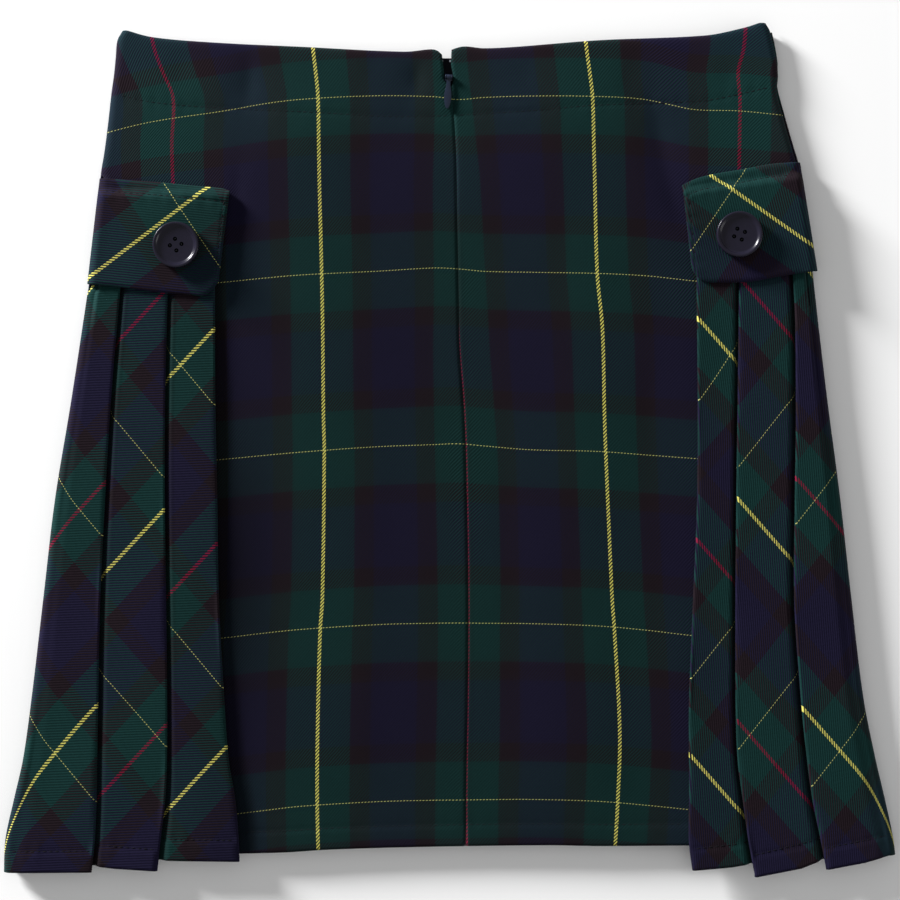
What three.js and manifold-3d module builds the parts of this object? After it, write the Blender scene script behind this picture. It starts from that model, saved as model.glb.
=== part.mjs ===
// A girl's tartan skort laid flat with its back upwards.
// Millimetres. +X is to the right, +Y to the waist, +Z up from the surface that it lies on.
// The skirt's front lies underneath, the shorts on it, then the back panels,
// the pleats of the two bias-cut inserts, the tabs over the pleats' tops and the buttons.
import * as THREE from "three";
import Module from "manifold-3d";
import { mergeVertices } from "three/addons/utils/BufferGeometryUtils.js";

// Driving sizes
const CLOTH = 1.0; // one layer of the skirt's cloth
const DOUBLE_CLOTH = 1.5; // a tab: two layers sewn and pressed
const SEAM = 0.3; // gap between pieces where they are sewn or lie on each other
const PLEAT_STEP = 1.4; // height from one layer of a pleat to the next
const PLEAT_DEPTH = 29; // cloth folded under a pleat, at most
const PLEAT_COUNT = 3; // knife pleats in each insert
const SIDE_BEND = 3.5; // width of the bend that takes a panel down to its side seam
const TAB_BEND = 4; // width of the same bend on a tab
const TAB_CLEARANCE = 1.9; // the side edge beneath a tab lies at least this far inside the tab's end
const DRAWN_BELOW = { start: 1.5, end: 5 }; // the edge comes back to its own line at these distances below a tab
const DRAWN_ABOVE = { start: 0.8, end: 2.8 }; // and at these above it
const SEAM_HEIGHT = 3.0; // height of the side seam above the surface
const HIDDEN_SHARE = { first: 0.6, other: 0.72 }; // cloth under a pleat, as a share of the pleat's width
const HIDDEN_GAP = 2.5; // kept free between the cloth under one pleat and the next
const BUTTON_HEIGHT = 4;
const TAPE_WIDTH = 20;
const TAPE_LENGTH = 165;
const TAPE_TOP = 195.9;
const TAPE_SHIFT = { amount: 1.5, from: 150, length: 45 }; // how far the tape's top stands left of the seam's line
const SAME_POINT = 1e-5; // points nearer than this are one point of a cloth wall
const SAME_CORNER = 1e-4; // and of a solid
const MIDDLE = { x: -0.44, y: 0.05 }; // middle of the outline in the tables below; it becomes the origin

// Heights of the flat layers' middles, from the surface up
const layerHeight = (count) => CLOTH / 2 + count * (CLOTH + SEAM);
const FRONT = layerHeight(0);
const SHORTS_FRONT = layerHeight(1);
const SHORTS_BACK = layerHeight(2);
const TAPE = layerHeight(3);
const BACK = layerHeight(4);

// Levels at which an edge column is read: near the waist, at the yoke seam and near the hem
const WAIST_LEVEL = 205;
const YOKE_LEVEL = 130;
const HEM_LEVEL = -200;

// The side seams, from the waist down to the hem: x of the garment's outline on each side
const SIDE_EDGES = [
  { y: 213.3, left: -163.0, right: 158.0 },
  { y: 209.5, left: -164.5, right: 160.2 },
  { y: 205, left: -167.0, right: 161.3 },
  { y: 196, left: -167.9, right: 163.2 },
  { y: 188, left: -168.7, right: 164.2 },
  { y: 178.5, left: -170.0, right: 163.8 },
  { y: 165, left: -171.5, right: 167.2 },
  { y: 150, left: -173.4, right: 171.4 },
  { y: 137, left: -175.5, right: 175.2 },
  { y: 127, left: -176.3, right: 177.0 },
  { y: 105, left: -178.9, right: 179.9 },
  { y: 80, left: -181.8, right: 182.2 },
  { y: 25, left: -190.0, right: 188.6 },
  { y: -25, left: -198.2, right: 195.2 },
  { y: -75, left: -204.1, right: 200.9 },
  { y: -125, left: -210.0, right: 207.0 },
  { y: -155, left: -214.2, right: 213.0 },
  { y: -175, left: -218.7, right: 217.7 },
  { y: -195, left: -223.0, right: 221.9 },
  { y: -212, left: -223.8, right: 223.8 },
];

// The pleats' fold edges, as distances out from x = 0; pleat 1 is the outermost and lies on top
const FOLDS = [
  { y: 130, left1: 160.8, left2: 139.9, left3: 117.7, right1: 165.5, right2: 144.5, right3: 122.4 },
  { y: 80, left1: 164.7, left2: 141.0, left3: 117.5, right1: 171.2, right2: 143.9, right3: 122.8 },
  { y: 25, left1: 169.3, left2: 142.3, left3: 117.3, right1: 172.3, right2: 143.2, right3: 123.3 },
  { y: -25, left1: 172.3, left2: 142.5, left3: 116.3, right1: 171.8, right2: 142.5, right3: 123.0 },
  { y: -75, left1: 174.7, left2: 141.8, left3: 115.5, right1: 171.5, right2: 142.1, right3: 121.0 },
  { y: -125, left1: 175.7, left2: 141.3, left3: 112.8, right1: 174.8, right2: 142.2, right3: 119.0 },
  { y: -155, left1: 176.2, left2: 141.4, left3: 110.6, right1: 177.9, right2: 143.2, right3: 119.0 },
  { y: -175, left1: 176.5, left2: 142.3, left3: 107.3, right1: 180.6, right2: 145.8, right3: 119.0 },
  { y: -195, left1: 177.4, left2: 144.6, left3: 105.6, right1: 184.7, right2: 148.6, right3: 118.9 },
  { y: -212, left1: 179.2, left2: 146.4, left3: 105.0, right1: 187.9, right2: 151.7, right3: 120.9 },
];

// Hem heights of each insert: where pleat n comes out from under its neighbour, and at its fold
const PLEAT_HEMS = {
  left: { start1: -211.2, fold1: -211.0, start2: -207.8, fold2: -210.3, start3: -204.9, fold3: -205.6 },
  right: { start1: -202.7, fold1: -209.5, start2: -204.5, fold2: -213.3, start3: -206.7, fold3: -210.0 },
};

// The centre back seam below the zip
const CENTRE_SEAM = [
  { y: 180, x: 0.8 },
  { y: 148, x: 2.7 },
  { y: 120, x: 3.2 },
  { y: 75, x: 4.0 },
  { y: 51, x: 4.5 },
  { y: 17, x: 6.9 },
  { y: -21, x: 8.1 },
  { y: -75, x: 8.9 },
  { y: -123, x: 8.6 },
  { y: -171, x: 7.8 },
  { y: -198, x: 7.8 },
];

// The open top of the zip, where the two back edges part round the slider
const ZIP_OPENING = [
  { y: 200, left: -4.6, right: 0.6 },
  { y: 192.3, left: -3.8, right: 0.5 },
  { y: 187.6, left: -3.2, right: 1.35 },
  { y: 184.2, left: -3.15, right: 1.35 },
  { y: 182.1, left: 0.55, right: 0.85 },
];

// The waist edge of the back and the hem of the centre panels, from left to right
const WAIST = [
  { x: -164.5, y: 209.5 },
  { x: -148.8, y: 206.1 },
  { x: -122, y: 203.7 },
  { x: -75, y: 201.3 },
  { x: -23.6, y: 198.9 },
  { x: -9.3, y: 200.1 },
  { x: -4.5, y: 197.4 },
  { x: 0.7, y: 199.9 },
  { x: 6.6, y: 201.5 },
  { x: 16.6, y: 200.6 },
  { x: 32.8, y: 201.3 },
  { x: 74.8, y: 204.6 },
  { x: 127.3, y: 207.0 },
  { x: 145.6, y: 210.4 },
  { x: 158, y: 213.3 },
];
const PANEL_HEM = [
  { x: -120, y: -202.2 },
  { x: -84, y: -201.4 },
  { x: -60, y: -199.9 },
  { x: -15, y: -198.6 },
  { x: 49, y: -197.7 },
  { x: 75, y: -198.1 },
  { x: 132, y: -197.8 },
];

// The seam that joins the top of an insert to the yoke: height at an outward distance
const YOKE_SEAM = {
  left: { out: 120, y: 124, slope: 0 },
  right: { out: 120, y: 125, slope: 0.14 },
};

// A tab's top and bottom edges from its inner end outwards; the last row is its sewn end
const TAB_EDGES = {
  left: [
    { topOut: 110.3, top: 128.6, bottomOut: 115.4, bottom: 86.8 },
    { topOut: 114.0, top: 129.9, bottomOut: 117.0, bottom: 82.0 },
    { topOut: 119.0, top: 130.6, bottomOut: 122.8, bottom: 77.0 },
    { topOut: 131.0, top: 131.8, bottomOut: 131.0, bottom: 77.4 },
    { topOut: 144.5, top: 133.1, bottomOut: 143.5, bottom: 78.3 },
    { topOut: 160.0, top: 134.3, bottomOut: 162.0, bottom: 80.7 },
    { topOut: 175.9, top: 135.6, bottomOut: 182.0, bottom: 82.9 },
  ],
  right: [
    { topOut: 115.9, top: 131.9, bottomOut: 120.2, bottom: 92.0 },
    { topOut: 119.5, top: 133.7, bottomOut: 122.0, bottom: 87.7 },
    { topOut: 125.0, top: 135.8, bottomOut: 126.5, bottom: 83.9 },
    { topOut: 134.0, top: 137.8, bottomOut: 137.0, bottom: 83.4 },
    { topOut: 146.0, top: 139.8, bottomOut: 150.0, bottom: 83.9 },
    { topOut: 160.0, top: 142.4, bottomOut: 164.0, bottom: 86.4 },
    { topOut: 175.3, top: 143.6, bottomOut: 183.9, bottom: 89.5 },
  ],
};

// Soft troughs (depth above 0) and swells (below 0) that run through all layers of the back
const CREASES = [
  { x: 106, y: 147, length: 80, width: 22, turn: 15, depth: 1.0 },
  { x: -102, y: 181, length: 34, width: 20, turn: 0, depth: 0.8 },
  { x: -18, y: 185, length: 20, width: 14, turn: 0, depth: 0.6 },
  { x: -60, y: 40, length: 240, width: 70, turn: 3, depth: -1.2 },
  { x: 66, y: 30, length: 260, width: 76, turn: -4, depth: -1.2 },
  { x: -52, y: -130, length: 110, width: 60, turn: -8, depth: -0.9 },
  { x: 60, y: -150, length: 90, width: 70, turn: 6, depth: -1.0 },
  { x: -70, y: 160, length: 50, width: 60, turn: 40, depth: -0.8 },
  { x: 52, y: 165, length: 60, width: 60, turn: -30, depth: -0.9 },
];

// The shorts, one row for each level: inner and outer edge of each leg, out from x = 0
const SHORTS = [
  { y: 190, inner: 0, outer: 152 },
  { y: 120, inner: 0, outer: 164 },
  { y: 40, inner: 0, outer: 172 },
  { y: -28, inner: 0, outer: 175 },
  { y: -44, inner: 5, outer: 176 },
  { y: -112, inner: 14, outer: 179 },
];

const BUTTONS = {
  left: { x: -136.4, y: 101.7, turn: 7 },
  right: { x: 143.5, y: 106.9, turn: 22 },
};
const BUTTON = { radius: 11.4, holeRadius: 1.0, holeDistance: 2.9, holes: 4 };

// The zip's slider and its pull tab, about the pin on which the pull turns
const ZIP = { x: -0.85, y: 186, pinHeight: 7.5, turn: -3, pinRadius: 0.4, width: 3.6, cheek: 0.5 };
const PULL = { eye: 1.1, bore: 0.65, thickness: 1.0, neck: 2.0, width: 3.6, length: 15.8, lift: 0.3 };

const COLOURS = {
  tartan: 0x17302e,
  shorts: 0x1d1c2c,
  tape: 0x14141f,
  button: 0x22232e,
  enamel: 0x1c2233,
};

const material = (color, roughness, metalness = 0) =>
  new THREE.MeshStandardMaterial({ color, roughness, metalness });
const TARTAN = material(COLOURS.tartan, 0.9);
const SHORTS_CLOTH = material(COLOURS.shorts, 0.9);
const TAPE_CLOTH = material(COLOURS.tape, 0.85);
const BUTTON_PLASTIC = material(COLOURS.button, 0.35);
const ENAMEL = material(COLOURS.enamel, 0.3, 0.4);

const lerp = (a, b, t) => a + (b - a) * t;
const clamp01 = (t) => Math.min(1, Math.max(0, t));
const smooth = (t) => clamp01(t) ** 2 * (3 - 2 * clamp01(t));
const radians = (degrees) => (degrees * Math.PI) / 180;
const steps = (count) => Array.from({ length: count + 1 }, (_, i) => i / count);

// Reads one column of a table at a place between its rows, on a smooth curve
function read(table, at, column, key = "y") {
  const rows = table[0][key] < table[1][key] ? table : [...table].reverse();
  const last = rows.length - 1;
  if (at <= rows[0][key]) return rows[0][column];
  if (at >= rows[last][key]) return rows[last][column];
  const i = rows.findIndex((row) => row[key] > at) - 1;
  const slope = (n) => {
    const a = rows[Math.max(0, n - 1)];
    const b = rows[Math.min(last, n + 1)];
    return (b[column] - a[column]) / (b[key] - a[key]);
  };
  const span = rows[i + 1][key] - rows[i][key];
  const t = (at - rows[i][key]) / span;
  const t2 = t * t;
  const t3 = t2 * t;
  return (
    (2 * t3 - 3 * t2 + 1) * rows[i][column] +
    (t3 - 2 * t2 + t) * span * slope(i) +
    (3 * t2 - 2 * t3) * rows[i + 1][column] +
    (t3 - t2) * span * slope(i + 1)
  );
}

// How far the back's layers lie above or below their flat height at a point
function swell(x, y) {
  let height = 0;
  for (const crease of CREASES) {
    const turn = radians(crease.turn);
    const dx = x - crease.x;
    const dy = y - crease.y;
    const across = (dx * Math.cos(turn) + dy * Math.sin(turn)) / (crease.width / 2);
    const along = (dy * Math.cos(turn) - dx * Math.sin(turn)) / (crease.length / 2);
    height -= crease.depth * Math.exp(-across * across - along * along);
  }
  return height;
}

// A closed wall of cloth about a grid of points on its middle.
// Rows run from waist to hem and columns from left to right on the upper side.
function clothWall(grid, thickness = CLOTH, isActive = () => true) {
  const rows = grid.length;
  const columns = grid[0].length;
  const point = (r, c) => grid[THREE.MathUtils.clamp(r, 0, rows - 1)][THREE.MathUtils.clamp(c, 0, columns - 1)];
  const positions = [];
  for (const side of [1, -1]) {
    for (let r = 0; r < rows; r++) {
      for (let c = 0; c < columns; c++) {
        const down = point(r + 1, c).clone().sub(point(r - 1, c));
        const across = point(r, c + 1).clone().sub(point(r, c - 1));
        const normal = down.cross(across).normalize();
        const p = point(r, c).clone().addScaledVector(normal, (side * thickness) / 2);
        positions.push(p.x, p.y, p.z);
      }
    }
  }
  const active = (r, c) => r >= 0 && c >= 0 && r < rows - 1 && c < columns - 1 && isActive(r, c);
  const upper = (r, c) => r * columns + c;
  const lower = (r, c) => rows * columns + upper(r, c);
  const faces = [];
  for (let r = 0; r < rows - 1; r++) {
    for (let c = 0; c < columns - 1; c++) {
      if (!active(r, c)) continue;
      const corners = [[r, c], [r + 1, c], [r + 1, c + 1], [r, c + 1]];
      const neighbours = [[r, c - 1], [r + 1, c], [r, c + 1], [r - 1, c]];
      const [a, b, d, e] = corners.map(([i, j]) => upper(i, j));
      faces.push(a, b, d, a, d, e);
      const [a2, b2, d2, e2] = corners.map(([i, j]) => lower(i, j));
      faces.push(a2, d2, b2, a2, e2, d2);
      neighbours.forEach(([i, j], n) => {
        if (active(i, j)) return;
        const [p, q] = [corners[n], corners[(n + 1) % corners.length]];
        faces.push(upper(...q), upper(...p), lower(...p), upper(...q), lower(...p), lower(...q));
      });
    }
  }
  const geometry = new THREE.BufferGeometry();
  geometry.setAttribute("position", new THREE.Float32BufferAttribute(positions, 3));
  geometry.setIndex(faces);
  return dropUnusedPoints(geometry);
}

// Leaves only the points that a face uses
function dropUnusedPoints(geometry) {
  return mergeVertices(geometry.toNonIndexed(), SAME_POINT);
}

// One side of the garment; "out" is the distance from x = 0 towards that side
function makeHalf(name) {
  const sign = name === "left" ? -1 : 1;
  const tab = TAB_EDGES[name];
  const tabEnd = tab[tab.length - 1];
  const yoke = YOKE_SEAM[name];
  const edge = (y) => sign * read(SIDE_EDGES, y, name);
  // How far the layers beneath the tab draw in so that its end goes down over them
  const drawnIn = (y) => {
    const below = smooth((y - tabEnd.bottom + DRAWN_BELOW.end) / (DRAWN_BELOW.end - DRAWN_BELOW.start));
    const above = 1 - smooth((y - tabEnd.top - DRAWN_ABOVE.start) / (DRAWN_ABOVE.end - DRAWN_ABOVE.start));
    const down = clamp01((tabEnd.top - y) / (tabEnd.top - tabEnd.bottom));
    const standsOut = lerp(tabEnd.topOut, tabEnd.bottomOut, down) - edge(y);
    return Math.max(0, TAB_CLEARANCE - standsOut) * below * above;
  };
  const half = {
    name,
    sign,
    edge,
    backEdge: (y) => edge(y) - drawnIn(y),
    yokeSeam: (out) => yoke.y + yoke.slope * Math.max(0, out - yoke.out),
    fold: (n, y) => read(FOLDS, y, name + n),
    point: (out, y, z) => new THREE.Vector3(sign * out, y, z),
    orient: (grid) => (sign < 0 ? grid : grid.map((row) => [...row].reverse())),
  };
  half.pleatDepth = (n, y) => {
    const width = (n === 1 ? half.backEdge(y) : half.fold(n - 1, y)) - half.fold(n, y);
    const share = n === 1 ? HIDDEN_SHARE.first : HIDDEN_SHARE.other;
    return Math.min(PLEAT_DEPTH, share * width - HIDDEN_GAP);
  };
  half.panelSeam = (y) => {
    const level = Math.min(y, half.yokeSeam(yoke.out));
    return half.fold(PLEAT_COUNT, level) + half.pleatDepth(PLEAT_COUNT, level);
  };
  return half;
}

// The bend at a side edge, as a list of { out, z } from the seam to the flat part
function sideBend(edge, flatHeight, seamHeight, width, thickness, count = 4) {
  return steps(count).map((t) => {
    const angle = (t * Math.PI) / 2;
    return {
      out: edge - thickness / 2 - width * (1 - Math.cos(angle)),
      z: lerp(seamHeight, flatHeight, Math.sin(angle)),
    };
  });
}

// The skirt's front: one plain panel, flat on the surface, with its side edges turned up to the seams
function frontPanel() {
  const ACROSS = 14;
  const DOWN = 18;
  const WAIST_DROP = 7;
  const UNDER_WAIST = 1; // how far its waist lies below the back's
  const HEM = -195.5;
  const HEM_DROP = { left: -13, right: -5 };
  const WIDEST = 222;
  const bendPoints = (half, y) =>
    sideBend(half.edge(y), FRONT, SEAM_HEIGHT, SIDE_BEND, CLOTH).map(({ out, z }) => ({ x: half.sign * out, z }));
  const height = (x, v) => {
    const share = Math.min(1, Math.abs(x) / WIDEST);
    const waist = read(WAIST, x, "y", "x") - UNDER_WAIST - WAIST_DROP * (1 - share ** 2);
    const hem = HEM + (x < 0 ? HEM_DROP.left : HEM_DROP.right) * share ** 2;
    return lerp(waist, hem, v);
  };
  const grid = steps(DOWN).map((v) => {
    const level = lerp(WAIST_LEVEL, HEM_LEVEL, v);
    const leftBend = bendPoints(left, level);
    const rightBend = bendPoints(right, level).reverse();
    const [from, to] = [leftBend[leftBend.length - 1].x, rightBend[0].x];
    const flat = steps(ACROSS).slice(1, -1).map((t) => ({ x: lerp(from, to, t), z: FRONT }));
    return [...leftBend, ...flat, ...rightBend].map(({ x, z }) => new THREE.Vector3(x, height(x, v), z));
  });
  return clothWall(grid);
}

// One half of the back: its yoke above the insert, cut in one with its half of the centre panel
function backPanel(half) {
  const YOKE_COLUMNS = 4;
  const PANEL_COLUMNS = 9;
  const LOWER_ROWS = [0.38, 0.54, 0.7, 0.83, 0.857, 1];
  const PANEL_ROWS = 22;
  const centreEdge = (y) => {
    const open = ZIP_OPENING[ZIP_OPENING.length - 1].y;
    if (y > open) return read(ZIP_OPENING, y, half.name);
    return read(CENTRE_SEAM, y, "x") + (half.sign * SEAM) / 2;
  };
  const BEND_STEPS = 4;
  const bendCount = BEND_STEPS + 1;
  // Each column gives its x and its height above the surface at a level of the panel
  const columns = [];
  for (let i = 0; i < bendCount; i++) {
    columns.push((y) => {
      const at = sideBend(half.backEdge(y), BACK, SEAM_HEIGHT + SEAM, SIDE_BEND, CLOTH, BEND_STEPS)[i];
      return { x: half.sign * at.out, z: at.z, free: 0 };
    });
  }
  for (const t of steps(YOKE_COLUMNS).slice(1)) {
    columns.push((y) => {
      const from = half.backEdge(y) - CLOTH / 2 - SIDE_BEND;
      return { x: half.sign * lerp(from, half.panelSeam(y), t), z: BACK, free: t };
    });
  }
  for (const t of steps(PANEL_COLUMNS).slice(1)) {
    columns.push((y) => ({ x: lerp(half.sign * half.panelSeam(y), centreEdge(y), t), z: BACK, free: 1 }));
  }
  const seamColumn = bendCount + YOKE_COLUMNS - 1;
  const place = (column, y) => {
    const { x, z, free } = column(y);
    return new THREE.Vector3(x, y, z + free * swell(x, y));
  };
  const zipTop = read(WAIST, centreEdge(WAIST_LEVEL), "y", "x");
  const openingRows = ZIP_OPENING.slice(1).map(({ y }) => (zipTop - y) / (zipTop - half.yokeSeam(0)));
  const yokeRows = [0, ...openingRows, ...LOWER_ROWS].map((v) =>
    columns.map((column) => {
      const top = read(WAIST, column(WAIST_LEVEL).x, "y", "x");
      const bottom = half.yokeSeam(Math.abs(column(YOKE_LEVEL).x));
      return place(column, lerp(top, bottom, v));
    })
  );
  const panelRows = steps(PANEL_ROWS).slice(1).map((v) =>
    columns.map((column) => {
      const top = half.yokeSeam(Math.abs(column(YOKE_LEVEL).x));
      const bottom = read(PANEL_HEM, column(HEM_LEVEL).x, "y", "x");
      return place(column, lerp(top, bottom, v));
    })
  );
  const grid = half.orient([...yokeRows, ...panelRows]);
  const lastYokeRow = yokeRows.length - 1;
  const cells = grid[0].length - 1;
  return clothWall(grid, CLOTH, (r, c) => {
    const column = half.sign < 0 ? c : cells - 1 - c;
    return r < lastYokeRow || column >= seamColumn;
  });
}

// One insert: knife pleats whose folds point to the centre back.
// A station gives the place of the cloth's section at any level, from the side seam inwards.
function pleatStations(half) {
  const TURN = 4;
  const RISE = 4;
  const HEM_SHARE = 0.6; // share of the way from start to fold that the hem has gone where the rise ends
  const UNDER_HEM = 1.5; // how much the hidden folds' hem lies above the visible one
  const SEAM_FLAP = 6; // flat cloth before the seam to the panel
  const hems = PLEAT_HEMS[half.name];
  const radius = PLEAT_STEP / 2;
  const stations = [];
  const add = (hem, place) => stations.push({ hem, place });
  const flatEdge = (y) => half.backEdge(y) - CLOTH / 2 - SIDE_BEND;
  for (const [i] of steps(TURN).entries()) {
    add(hems.start1, (y) => sideBend(half.backEdge(y), BACK, SEAM_HEIGHT + SEAM, SIDE_BEND, CLOTH, TURN)[i]);
  }
  for (let n = 1; n <= PLEAT_COUNT; n++) {
    const [startHem, foldHem] = [hems["start" + n], hems["fold" + n]];
    const start = n === 1 ? flatEdge : (y) => half.fold(n - 1, y) - CLOTH / 2;
    const inner = (y) => half.fold(n, y) + half.pleatDepth(n, y);
    const rise = n === 1 ? steps(RISE).slice(1) : steps(RISE);
    for (const t of rise) {
      add(lerp(startHem, foldHem, HEM_SHARE * t), (y) => ({
        out: lerp(start(y), inner(y) + CLOTH / 2, t),
        z: BACK + 2 * PLEAT_STEP * smooth(t),
      }));
    }
    for (const t of steps(TURN)) {
      const angle = t * Math.PI;
      add(foldHem, (y) => ({
        out: half.fold(n, y) + CLOTH / 2 + radius - radius * Math.sin(angle),
        z: BACK + 1.5 * PLEAT_STEP + radius * Math.cos(angle),
      }));
    }
    if (n === PLEAT_COUNT) {
      const settled = PLEAT_STEP - (CLOTH + SEAM);
      add(foldHem + UNDER_HEM, (y) => ({ out: inner(y) - SEAM_FLAP, z: BACK + PLEAT_STEP }));
      add(foldHem + 2 * UNDER_HEM, (y) => ({ out: inner(y), z: BACK + PLEAT_STEP - settled }));
      break;
    }
    for (const t of steps(TURN)) {
      const angle = t * Math.PI;
      add(hems["start" + (n + 1)] + UNDER_HEM, (y) => ({
        out: inner(y) - CLOTH / 2 - radius + radius * Math.sin(angle),
        z: BACK + 0.5 * PLEAT_STEP + radius * Math.cos(angle),
      }));
    }
  }
  return stations;
}

function pleatInsert(half) {
  const ROWS_BELOW = 11;
  const FREE = { from: 4, length: 20 }; // distance in from the side edge at which the cloth follows the swells
  const stations = pleatStations(half);
  const tabRows = TAB_EDGES[half.name];
  const tabBottom = tabRows[tabRows.length - 1].bottom;
  const first = stations[0];
  const edgeTop = half.yokeSeam(first.place(YOKE_LEVEL).out);
  const underTab = [DRAWN_BELOW.start, DRAWN_BELOW.end].map(
    (distance) => (edgeTop - tabBottom + distance) / (edgeTop - first.hem)
  );
  const lastUnderTab = underTab[1];
  const below = steps(ROWS_BELOW).slice(1).map((t) => lerp(lastUnderTab, 1, t));
  const grid = [0, underTab[0] / 2, ...underTab, ...below].map((v) =>
    stations.map(({ hem, place }) => {
      const top = half.yokeSeam(place(YOKE_LEVEL).out) - SEAM;
      const y = lerp(top, hem, v);
      const { out, z } = place(y);
      const free = smooth((half.backEdge(y) - out - FREE.from) / FREE.length);
      return half.point(out, y, z + free * swell(half.sign * out, y));
    })
  );
  return clothWall(half.orient(grid));
}

// A tab made from the points beneath it, moved out by its own thickness: it steps up from the yoke
// onto the pleats, and its outer end goes down over the side edge to the seam
function tabHeight(half, out, y) {
  const RAMP_START = 1.5;
  const RAMP_END = 7;
  const onPleats = 1 - smooth((y - half.yokeSeam(out) - RAMP_START) / (RAMP_END - RAMP_START));
  const beneath = BACK + CLOTH / 2 + onPleats * 2 * PLEAT_STEP;
  return beneath + SEAM + DOUBLE_CLOTH / 2;
}

function tab(half) {
  const rows = TAB_EDGES[half.name];
  const end = rows[rows.length - 1];
  const LEVELS = [0, 0.06, 0.12, 0.2, 0.4, 0.6, 0.8, 1]; // closest where the tab steps up onto the pleats
  const grid = LEVELS.map((v) => {
    const flat = rows.slice(0, -1).map((row) => {
      const out = lerp(row.topOut, row.bottomOut, v);
      const y = lerp(row.top, row.bottom, v);
      return half.point(out, y, tabHeight(half, out, y));
    });
    const y = lerp(end.top, end.bottom, v);
    const endOut = lerp(end.topOut, end.bottomOut, v);
    const flatHeight = tabHeight(half, endOut - TAB_BEND, y);
    const bend = sideBend(endOut, flatHeight, SEAM_HEIGHT + SEAM, TAB_BEND, DOUBLE_CLOTH)
      .map(({ out, z }) => half.point(out, y, z))
      .reverse();
    return [...flat, ...bend];
  });
  // These rows run outwards, so they are turned round on the left instead of the right
  const ordered = half.sign < 0 ? grid.map((row) => [...row].reverse()) : grid;
  return clothWall(ordered, DOUBLE_CLOTH);
}

// A plain leg panel of the shorts, flat inside the skirt
function shortsPanel(half, height) {
  const ACROSS = 5;
  const FOLLOWS_WAIST = { from: 120, length: 70, share: 0.6 }; // its top edge follows the skirt's waist
  const levels = [190, 155, 120, 80, 40, 6, -28, -44, -78, -112];
  const waistTurn = (x) => read(WAIST, x, "y", "x") - WAIST[4].y;
  const grid = levels.map((y) =>
    steps(ACROSS).map((t) => {
      const inner = Math.max(SEAM / 2, read(SHORTS, y, "inner"));
      const out = lerp(read(SHORTS, y, "outer"), inner, t);
      const near = smooth((y - FOLLOWS_WAIST.from) / FOLLOWS_WAIST.length);
      const raised = near * waistTurn(half.sign * out) * FOLLOWS_WAIST.share;
      return half.point(out, y + raised, height);
    })
  );
  return clothWall(half.orient(grid));
}

function zipTape() {
  const DOWN = 8;
  const grid = steps(DOWN).map((v) => {
    const y = TAPE_TOP - TAPE_LENGTH * v;
    const shift = TAPE_SHIFT.amount * smooth((y - TAPE_SHIFT.from) / TAPE_SHIFT.length);
    const middle = read(CENTRE_SEAM, y, "x") - shift;
    return steps(2).map((t) => new THREE.Vector3(middle + (t - 0.5) * TAPE_WIDTH, y, TAPE));
  });
  return clothWall(grid);
}

const wasm = await Module();
wasm.setup();

function toSolid(geometry) {
  const plain = geometry.clone();
  plain.deleteAttribute("normal");
  plain.deleteAttribute("uv");
  const merged = mergeVertices(plain, SAME_CORNER);
  return new wasm.Manifold(
    new wasm.Mesh({
      numProp: 3,
      vertProperties: new Float32Array(merged.attributes.position.array),
      triVerts: new Uint32Array(merged.index.array),
    })
  );
}

function toGeometry(solid) {
  const mesh = solid.getMesh();
  const geometry = new THREE.BufferGeometry();
  geometry.setAttribute("position", new THREE.Float32BufferAttribute(mesh.vertProperties, 3));
  geometry.setIndex(Array.from(mesh.triVerts));
  return geometry;
}

// A sewn button: a dished disc with a raised rim and four holes
function button() {
  const { radius, holeRadius, holeDistance, holes } = BUTTON;
  const profile = [
    [0, 0],
    [radius - 1.4, 0],
    [radius - 0.3, 0.8],
    [radius, 1.9],
    [radius - 0.2, 3.1],
    [radius - 0.9, 3.9],
    [radius - 1.5, BUTTON_HEIGHT],
    [radius - 2.1, 3.6],
    [radius - 2.6, 2.9],
    [0, 2.6],
  ].map(([r, z]) => new THREE.Vector2(r, z));
  const body = new THREE.LatheGeometry(profile, 30).rotateX(Math.PI / 2);
  let solid = toSolid(body);
  for (let i = 0; i < holes; i++) {
    const angle = (i / holes) * 2 * Math.PI;
    const hole = new THREE.CylinderGeometry(holeRadius, holeRadius, 3 * BUTTON_HEIGHT, 10)
      .rotateX(Math.PI / 2)
      .translate(holeDistance * Math.cos(angle), holeDistance * Math.sin(angle), 0);
    solid = solid.subtract(toSolid(hole));
  }
  return toGeometry(solid);
}

// The slider in the zip's opening: a body, two cheeks and the pin between them
function zipSlider() {
  const { width, cheek, pinRadius, pinHeight } = ZIP;
  const length = 3.2;
  const bottom = TAPE + CLOTH / 2 + SEAM;
  const bodyHeight = 0.8;
  const body = new THREE.BoxGeometry(width, length, bodyHeight).translate(0, 0, bottom + bodyHeight / 2);
  const cheekRadius = 1;
  const cheekBottom = bottom + bodyHeight / 4 - pinHeight;
  const outline = new THREE.Shape();
  outline.moveTo(-cheekRadius, cheekBottom);
  outline.lineTo(cheekRadius, cheekBottom);
  outline.absarc(0, 0, cheekRadius, 0, Math.PI, false);
  const makeCheek = (side) =>
    new THREE.ExtrudeGeometry(outline, { depth: cheek, bevelEnabled: false, curveSegments: 8 })
      .rotateX(Math.PI / 2)
      .rotateZ(Math.PI / 2)
      .translate(side < 0 ? -width / 2 : width / 2 - cheek, 0, pinHeight);
  const pin = new THREE.CylinderGeometry(pinRadius, pinRadius, width - cheek, 12)
    .rotateZ(Math.PI / 2)
    .translate(0, 0, pinHeight);
  const parts = [makeCheek(-1), makeCheek(1), pin].map(toSolid);
  return toGeometry(parts.reduce((whole, part) => whole.add(part), toSolid(body)));
}

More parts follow.
